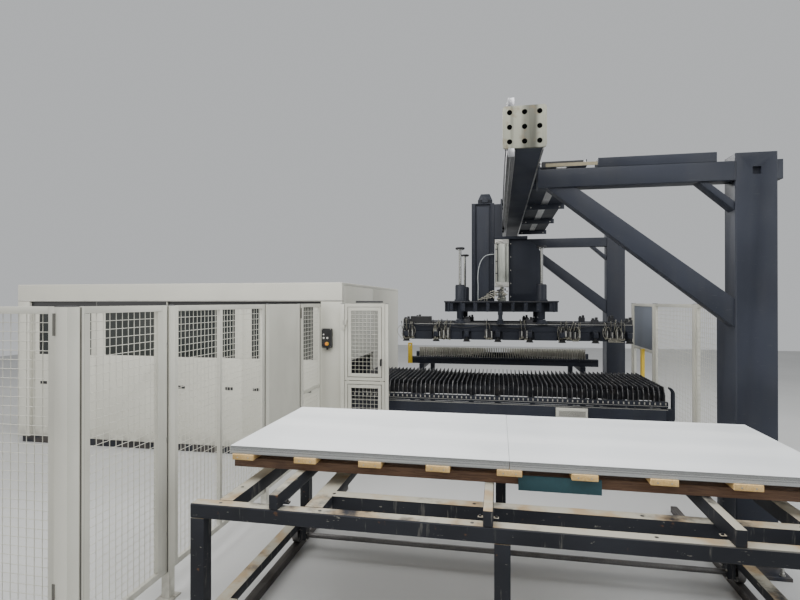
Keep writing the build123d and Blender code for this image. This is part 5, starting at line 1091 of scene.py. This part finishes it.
def spider_dress():
    """Flanges, wipers and bolts on the rod housings, and bolted pads and a strip on the plate's front edge."""
    low, high = box_of("spider_plate")
    xs, ys = rod_centres()
    top = 2.062
    flange = [(0.067, 0.0), (0.080, 0.0), (0.080, 0.016), (0.067, 0.018)]
    detail("housing_flanges", deep_anthracite, "carriage", spun(flange, "z", 32, places(xs, ys, top)))
    wiper = [(0.0215, 0.0), (0.060, 0.0), (0.060, 0.010), (0.0215, 0.012)]
    detail("housing_wipers", dark_steel, "carriage", spun(wiper, "z", 28, places(xs, ys, top + 0.216)))
    angles = np.linspace(0.4, 0.4 + 2 * math.pi, 6, endpoint=False)
    spots = [(x + 0.073 * math.cos(a), y + 0.073 * math.sin(a), top + 0.016) for x in xs for y in ys for a in angles]
    detail("housing_bolts", dark_steel, "carriage", hex_heads(spots, "+z", 0.006, 0.006))
    x, pad_front = rows(low[0] + 0.10, high[0] - 0.10, 0.17), low[1] - 0.004
    detail("spider_front_pads", deep_anthracite, "carriage",
           bars(places(x - 0.022, pad_front, 1.92), places(x + 0.022, low[1] + 0.001, 2.03)), bevel=0.002)
    detail("spider_bolts", dark_steel, "carriage",
           hex_heads(places(x, pad_front, (1.945, 2.005)), "-y", 0.008, 0.008))
    detail("spider_edge_strip", dark_steel, "carriage",
           bars([low[0] - 0.002, low[1] - 0.003, 2.046], [high[0] + 0.002, low[1] + 0.001, 2.060]), bevel=0.001)


BEAM_TOP = 1.75


def cups_and_valves(low, high, x):
    """Bellows cups with their nuts, and valve blocks with coils; the hose's two fittings are given back."""
    cup_top = box_of("suction_cups")[1][2]
    crossings = places(x, np.array([1.05, 1.66, 2.27]), cup_top)
    bellows = [(0.0, 0.0), (0.012, 0.0), (0.012, -0.030), (0.022, -0.032), (0.034, -0.038), (0.042, -0.042),
               (0.037, -0.047), (0.045, -0.052), (0.040, -0.057), (0.050, -0.064), (0.052, -0.0695),
               (0.049, -0.0695), (0.033, -0.058), (0.0, -0.056)][::-1]
    detail("bellows_cups", cup_rubber, "lift", spun(bellows, "z", 20, crossings), instead_of="suction_cups")
    detail("cup_nuts", dark_steel, "lift", spun([(0.018, -0.012), (0.018, 0.0)], "z", 6, crossings))
    valve_x, blocks, coils = np.append(x[::2], x[-1]), [], []
    for y in (1.11, 2.21):
        blocks.append(bars(places(valve_x - 0.045, y - 0.035, BEAM_TOP),
                           places(valve_x + 0.045, y + 0.035, BEAM_TOP + 0.060)))
        for side in (-1, 1):
            coils.append(bars(places(valve_x + side * 0.021 - 0.016, y - 0.020, BEAM_TOP + 0.060),
                              places(valve_x + side * 0.021 + 0.016, y + 0.020, BEAM_TOP + 0.088 + side * 0.006)))
    detail("valve_blocks", dark_steel, "lift", *blocks, bevel=0.003, instead_of="vacuum_valves")
    detail("valve_coils", black_plastic, "lift", *coils, bevel=0.003)
    detail("front_distribution_boxes", deep_anthracite, "lift",
           bars(places(x[:-1] + 0.062, 1.075, 1.525), places(x[1:] - 0.062, 1.150, 1.640)), bevel=0.004)
    detail("front_valve_terminal", black_plastic, "lift", bars([1.155, 1.078, BEAM_TOP], [1.452, 1.145, 1.848]),
           bevel=0.004)
    detail("front_lower_bar", deep_anthracite, "lift",
           bars([low[0] + 0.002, 1.1065, 1.527], [high[0] - 0.002, 1.149, 1.6505]), bevel=0.003)
    tip = [(0.010, 0.0), (0.010, -0.009), (0.0078, -0.010), (0.0078, -0.016), (0.0, -0.016)]
    return valve_x, [spun(tip, "y", 12, places(valve_x[[0, -1]], 1.11 - 0.035, 1.795))]


def rod_ends():
    """Collars at the feet of the guide rods, and caps on their tops."""
    xs, ys = rod_centres()
    collar = [(0.0225, 0.0), (0.088, 0.0), (0.088, 0.012), (0.060, 0.034), (0.052, 0.056), (0.0225, 0.058)]
    detail("rod_base_collars", deep_anthracite, "lift", spun(collar, "z", 28, places(xs, ys, BEAM_TOP)))
    cap = [(0.0, -0.002), (0.060, -0.002), (0.064, 0.004), (0.064, 0.020), (0.058, 0.026), (0.0, 0.026)]
    detail("rod_top_caps", dark_steel, "lift", spun(cap, "z", 28, places(xs, ys, box_of("guide_rods")[1][2])))


def front_clusters(fittings):
    """Clusters of valves and rigid formed pipes along the front beam, scattered by a fixed random draw."""
    draw = np.random.default_rng(5).uniform
    dark, pale, pipes, dark_pipes, plates = ([] for _ in range(5))
    knob = [(0.0, 0.0), (0.006, 0.0), (0.006, -0.010), (0.011, -0.012), (0.011, -0.028), (0.0, -0.030)]
    for centre, count, reach in ((1.13, 9, 0.075), (1.60, 12, 0.110), (2.24, 5, 0.045), (2.71, 5, 0.045),
                                 (3.31, 14, 0.130), (3.88, 12, 0.115)):
        plates.append(bars([centre - 0.8 * reach, 1.0625, 1.560], [centre + 0.8 * reach, 1.071, 1.742]))
        for index, offset in enumerate(np.linspace(-reach, reach, count)):
            x = centre + offset + draw(-0.005, 0.005)
            width = draw(0.006, 0.012)
            drop = draw(0.0, 0.045)
            front = 1.016 + 0.012 * (index % 3)
            (pale if index % 3 == 1 else dark).append(bars(
                [x - width, front, 1.586 - drop], [x + width, 1.0640, 1.632 + draw(0.0, 0.060)]))
            fittings.append(spun(knob, "z", 10, [(x, 1.046, 1.587 - drop)]))
            lean = draw(-0.45, 0.45) * reach
            rise = 1.758 + draw(0.0, 0.055)
            corners = [(x, 1.040, 1.630), (x, 1.030, 1.655), (x + 0.2 * lean, 1.014, 1.690),
                       (x + 0.7 * lean, 1.010, rise - 0.02), (x + lean, 1.032, rise), (x + lean, 1.064, rise - 0.003),
                       (x + lean, 1.084, 1.760), (x + lean, 1.086, 1.748)]
            (pipes if index % 2 else dark_pipes).append(hose(curve_through(corners, 6), draw(0.0024, 0.0040), 7))
            if index % 3 == 0 and count > 5:
                swing = draw(-0.075, 0.075)
                corners = [(x, 1.030, 1.575 - drop), (x + 0.2 * swing, 1.014, 1.558 - drop), (x + swing, 1.006, 1.600),
                           (x + 1.2 * swing, 1.008, 1.655), (x + 0.8 * swing, 1.018, 1.705),
                           (x + 0.4 * swing, 1.012, 1.715), (x + 0.1 * swing, 1.022, 1.660), (x, 1.044, 1.640)]
                pipes.append(hose(curve_through(corners, 6), 0.0032, 7))
    fittings += [rods((3.80, 1.020, level), (end_x, 1.020, level), 0.0042, 8)
                 for level, end_x in ((1.520, 3.985), (1.532, 3.955), (1.546, 3.990), (1.562, 3.945))]
    dark.append(bars([[3.83, 1.0235, 1.512], [3.93, 1.0235, 1.512]], [[3.845, 1.064, 1.60], [3.945, 1.064, 1.60]]))
    for name, finish, surfaces, bevel in (
            ("front_valve_brackets", deep_anthracite, plates, 0.002), ("front_valves", dark_steel, dark, 0.002),
            ("front_valve_coils", zinc, pale, 0.002), ("front_formed_pipes", brass, pipes, 0.0),
            ("front_dark_formed_pipes", cable_jacket, dark_pipes, 0.0), ("valve_fittings", brass, fittings, 0.0)):
        detail(name, finish, "lift", *surfaces, bevel=bevel)


def frame_trim(low, high, x, valve_x):
    """Pipes clamped along the front beam's top, its edge strip, bolted arm clamps, and the stepped guide pin."""
    spans = [(valve_x[0], 1.16), (1.45, valve_x[1]), *zip(valve_x[1:-1], valve_x[2:])]
    detail("beam_top_pipes", cable_jacket, "lift", *[
        rods((first, y, BEAM_TOP + radius), (last, y, BEAM_TOP + radius), radius, 10)
        for y, radius in ((1.094, 0.010), (1.128, 0.013)) for first, last in spans])
    detail("vacuum_edge_strip", zinc, "lift",
           bars([low[0] + 0.01, 1.0685, BEAM_TOP - 0.010], [high[0] - 0.01, 1.0705, BEAM_TOP - 0.003]))
    detail("arm_clamps", deep_anthracite, "lift", *[
        bars(places(x - 0.036, y + side * 0.052 - 0.010, 1.628), places(x + 0.036, y + side * 0.052 + 0.010, 1.668))
        for y in (1.11, 1.66, 2.21) for side in (-1, 1)], bevel=0.003)
    spots = places(np.concatenate([x - 0.022, x + 0.022]), 1.048, 1.648)
    detail("clamp_bolts", dark_steel, "lift", hex_heads(spots, "-y", 0.007, 0.006))
    pin = [(0.0, 0.0), (0.040, 0.0), (0.040, 0.050), (0.028, 0.056), (0.028, 0.110), (0.034, 0.114), (0.034, 0.150),
           (0.018, 0.158), (0.018, 0.225), (0.023, 0.230), (0.023, 0.262), (0.010, 0.272), (0.0, 0.272)]
    detail("guide_pin", deep_anthracite, "lift", spun(pin, "z", 24, [(2.405, 0.965, 1.762)]),
           bars([2.350, 0.915, 1.750], [2.460, 1.120, 1.764]))


def vacuum_dress():
    """Everything that the vacuum frame carries: its arms stand at eight places along the beams."""
    low, high = box_of("vacuum_frame")
    x = np.linspace(low[0] + 0.05, high[0] - 0.05, 8)
    valve_x, fittings = cups_and_valves(low, high, x)
    rod_ends()
    front_clusters(fittings)
    frame_trim(low, high, x, valve_x)


mast_dress()
hood_dress()
cylinder_dress()
spider_dress()
vacuum_dress()


# Cart

AXLES_Y, AXLE_Z = (-3.30, -2.08), 0.1203


def wheels(name, node, axle_y, body):
    """Turned wheels with a raised tread edge, a dished web and a hub, on a plain shaft."""
    low, high = box_of(node)
    axle = np.array([0.0, axle_y, AXLE_Z])
    profile = [(0.0, -0.030), (0.026, -0.030), (0.026, -0.020), (0.045, -0.014), (0.050, -0.0245), (0.0595, -0.0245),
               (0.0598, -0.018), (0.0598, 0.018), (0.0595, 0.0245), (0.050, 0.0245), (0.045, 0.014), (0.026, 0.020),
               (0.026, 0.030), (0.0, 0.030)]
    detail(name, iron, body, spun(profile, "x", 36, [axle + (x, 0, 0) for x in (low[0] + 0.025, high[0] - 0.025)]),
           rods(axle + (low[0] + 0.03, 0, 0), axle + (high[0] - 0.03, 0, 0), 0.0198, 24), instead_of=node)


def cart_dress():
    """Wheels, bolts of their bearings and of the bearers, plugs in the tube ends, and black discs of painted shade for
    the holes along the rail tops.
    """
    low, high = box_of("cart_frame")
    for axle_y, end in zip(AXLES_Y, ("front", "back")):
        wheels(end + "_wheels_turned", end + "_wheelset", axle_y, end + "_wheels")
    bearings = [(x, side, y) for x, side in ((low[0] + 0.08 + 0.0503, "+x"), (high[0] - 0.08 - 0.0503, "-x"))
                for y in AXLES_Y]
    for index, (x, side, y) in enumerate(bearings):
        spots = [(x, y + dy, AXLE_Z + dz) for dy in (-0.036, 0.036) for dz in (-0.026, 0.030)]
        detail(f"bearing_bolts_{index}", zinc, "cart", hex_heads(spots, side, 0.008, 0.007))
    detail("tube_end_plugs", black_plastic, "cart", *[
        bars([min(x, outer), y - 0.034, 0.856], [max(x, outer), y + 0.034, 0.924])
        for y in (-3.50, -1.88) for x, outer in ((low[0], low[0] - 0.003), (high[0], high[0] + 0.003))], bevel=0.001)
    bolts = places((1.185, 2.325, 3.465), (-3.44, -1.94), 0.942)
    detail("bearer_clip_bolts", dark_steel, "cart",
           hex_heads(np.concatenate([bolts + (-0.042, 0, 0), bolts + (0.042, 0, 0)]), "+z", 0.008, 0.008))
    # Thin black discs on the rail tops: painted shade standing in for holes.
    disc = [(0.0, 0.0), (0.010, 0.0), (0.010, 0.0007), (0.0, 0.0007)]
    spots = places(low[0] + np.array([0.16, 0.74, 1.55, 2.42, 3.16, 3.25]), (-3.50, -3.25), 0.9299)
    detail("rail_top_hole_shade", black_plastic, "cart", spun(disc, "z", 14, spots))


cart_dress()


# Enclosure, controls and changer

def enclosure_dress():
    """Gaskets and panes, recessed pulls, roof screws, the port's seal, dark strips of painted shadow under the fascia
    and on the door, a black strip of painted shade as a side slot, and a bright strip along the fascia's lower edge.
    """
    low, high = box_of("windows")
    bay = 1.10875
    starts = [-4.31 + index * bay for index in (0, 2, 3)]
    detail("pane_gaskets", cup_rubber, "machine", *[
        bars(*ring_of_tubes((start + 0.119, start + bay - 0.119), (low[1] - 0.006, low[1] + 0.001),
                            (low[2] - 0.001, high[2] + 0.001), 0.018, "y")) for start in starts], bevel=0.002)
    door_low, door_high = box_of("access_door")
    detail("door_pane", pane, "access_door",
           bars([door_low[0] + 0.142, door_low[1] + 0.006, 1.302],
                [door_high[0] - 0.142, door_low[1] + 0.009, door_high[2] - 0.142]), bevel=0.002)
    pulls = []
    for x in [x for start in starts for x in (start + 0.20, start + bay - 0.20)]:
        pulls.append(bars(*ring_of_tubes((x - 0.055, x + 0.055), (0.251, 0.256), (0.86, 0.90), 0.005, "y")))
        pulls.append(bars([x - 0.05, 0.2535, 0.865], [x + 0.05, 0.2560, 0.895]))
    detail("panel_pulls", black_plastic, "machine", *pulls, bevel=0.001)
    spots = places(rows(-4.4, 0.3, 0.47), rows(0.35, 3.9, 0.59), 2.2995)
    detail("roof_screws", zinc, "machine", hex_heads(spots, "+z", 0.008, 0.002))
    detail("port_seal", cup_rubber, "machine",
           bars(*ring_of_tubes((0.412, 0.4165), (0.352, 1.848), (0.597, 1.253), 0.014, "x")), bevel=0.001)
    for name, finish, body, start, stop, bevel in (
            ("fascia_shadow_strip", black_plastic, "machine", (-4.31, 0.2485, 1.985), (0.12, 0.2545, 2.0547), 0.001),
            ("door_shadow_strip", black_plastic, "access_door", (door_low[0] + 0.006, door_low[1] - 0.002, 1.985),
             (door_high[0] - 0.006, door_low[1] + 0.001, 2.0547), 0.0005),
            # A black strip as the side slot: painted shade.
            ("side_slot_shade", black_plastic, "machine", (0.4145, 0.85, 2.036), (0.4165, 2.58, 2.064), 0.0005),
            ("fascia_lower_strip", zinc, "machine", (-4.50, 0.2085, 2.058), (0.405, 0.2105, 2.075), 0.0005)):
        detail(name, finish, body, bars(start, stop), bevel=bevel)


def control_dress():
    """Bezels round the buttons, a small lamp, the cover's screws, and a gland underneath."""
    low, high = box_of("control_box")
    front = low[1]
    bezel = [(0.0095, 0.0), (0.0145, 0.0), (0.0145, -0.003), (0.012, -0.0045), (0.0095, -0.0045)]
    detail("button_bezels", zinc, "machine",
           spun(bezel, "y", 24, places(low[0] + np.array([0.030, 0.078]), front, low[2] + 0.126)))
    collar = [(0.0085, 0.0), (0.024, 0.0), (0.024, -0.002), (0.0085, -0.003)]
    detail("stop_collar", yellow, "machine", spun(collar, "y", 32, [(low[0] + 0.072, front, low[2] + 0.052)]))
    detail("signal_lamp", white_plastic, "machine",
           bars([low[0] + 0.020, front - 0.004, low[2] + 0.163], [low[0] + 0.036, front, low[2] + 0.179]), bevel=0.001)
    spots = places((low[0] + 0.010, high[0] - 0.010), front, (low[2] + 0.010, high[2] - 0.010))
    detail("control_box_screws", zinc, "machine", spun(SMALL_HEAD, "y", 10, spots))
    gland = [(0.014, 0.0), (0.014, -0.016), (0.011, -0.018), (0.009, -0.03)]
    detail("control_gland", black_plastic, "machine", spun(gland, "z", 16, [(low[0] + 0.065, 0.185, low[2])]))


def changer_dress():
    """Anchor bolts of the changer, a bright strip of painted highlight along its top edge, and the junction box's
    screws, louvres drawn as dark bars of painted shade, glands and conduits.
    """
    low, high = box_of("changer_frame")
    spots = np.concatenate([places([x - 0.055, x + 0.055], [y - 0.055, y + 0.055], 0.012)
                            for x in (0.48, 2.37, 4.26) for y in (0.39, 1.81)])
    detail("leg_anchor_bolts", zinc, "machine", hex_heads(spots, "+z", 0.009, 0.012))
    # A thin bright strip along the top edge of the changer's front beam: a painted highlight.
    detail("changer_edge_highlight", zinc, "machine",
           bars([low[0] + 0.02, 0.3485, 0.783], [high[0] - 0.02, 0.3505, 0.7895]), bevel=0.0005)
    low, high = box_of("junction_box")
    front = low[1]
    spots = places((low[0] + 0.03, high[0] - 0.03), front, (low[2] + 0.03, high[2] - 0.03))
    detail("junction_box_screws", zinc, "machine", spun(SMALL_HEAD, "y", 10, spots))
    # Dark bars across the junction box's front: painted shade in its louvre openings.
    slots = rows(low[2] + 0.022, high[2] - 0.035, 0.0095)
    detail("junction_louvre_shade", iron, "machine",
           bars(places(3.092, front - 0.0006, slots), places(3.398, front + 0.002, slots + 0.0045)), smooth=False)
    gland = [(0.012, 0.0), (0.012, -0.015), (0.008, -0.028)]
    glands = np.array([(x, front + 0.022, low[2] + 0.012) for x in (3.15, 3.21, 3.27)])
    detail("junction_glands", black_plastic, "machine", spun(gland, "z", 14, glands))
    tops = glands - (0, 0, 0.02)
    detail("junction_rigid_conduits", cable_jacket, "machine", rods(tops, tops * (1, 1, 0) + (0, 0, 0.004), 0.008, 10))
    detail("conduit_floor_flange", zinc, "machine",
           bars([3.12, glands[0, 1] - 0.03, 0.0], [3.30, glands[0, 1] + 0.03, 0.012]), bevel=0.002)


enclosure_dress()
control_dress()
changer_dress()
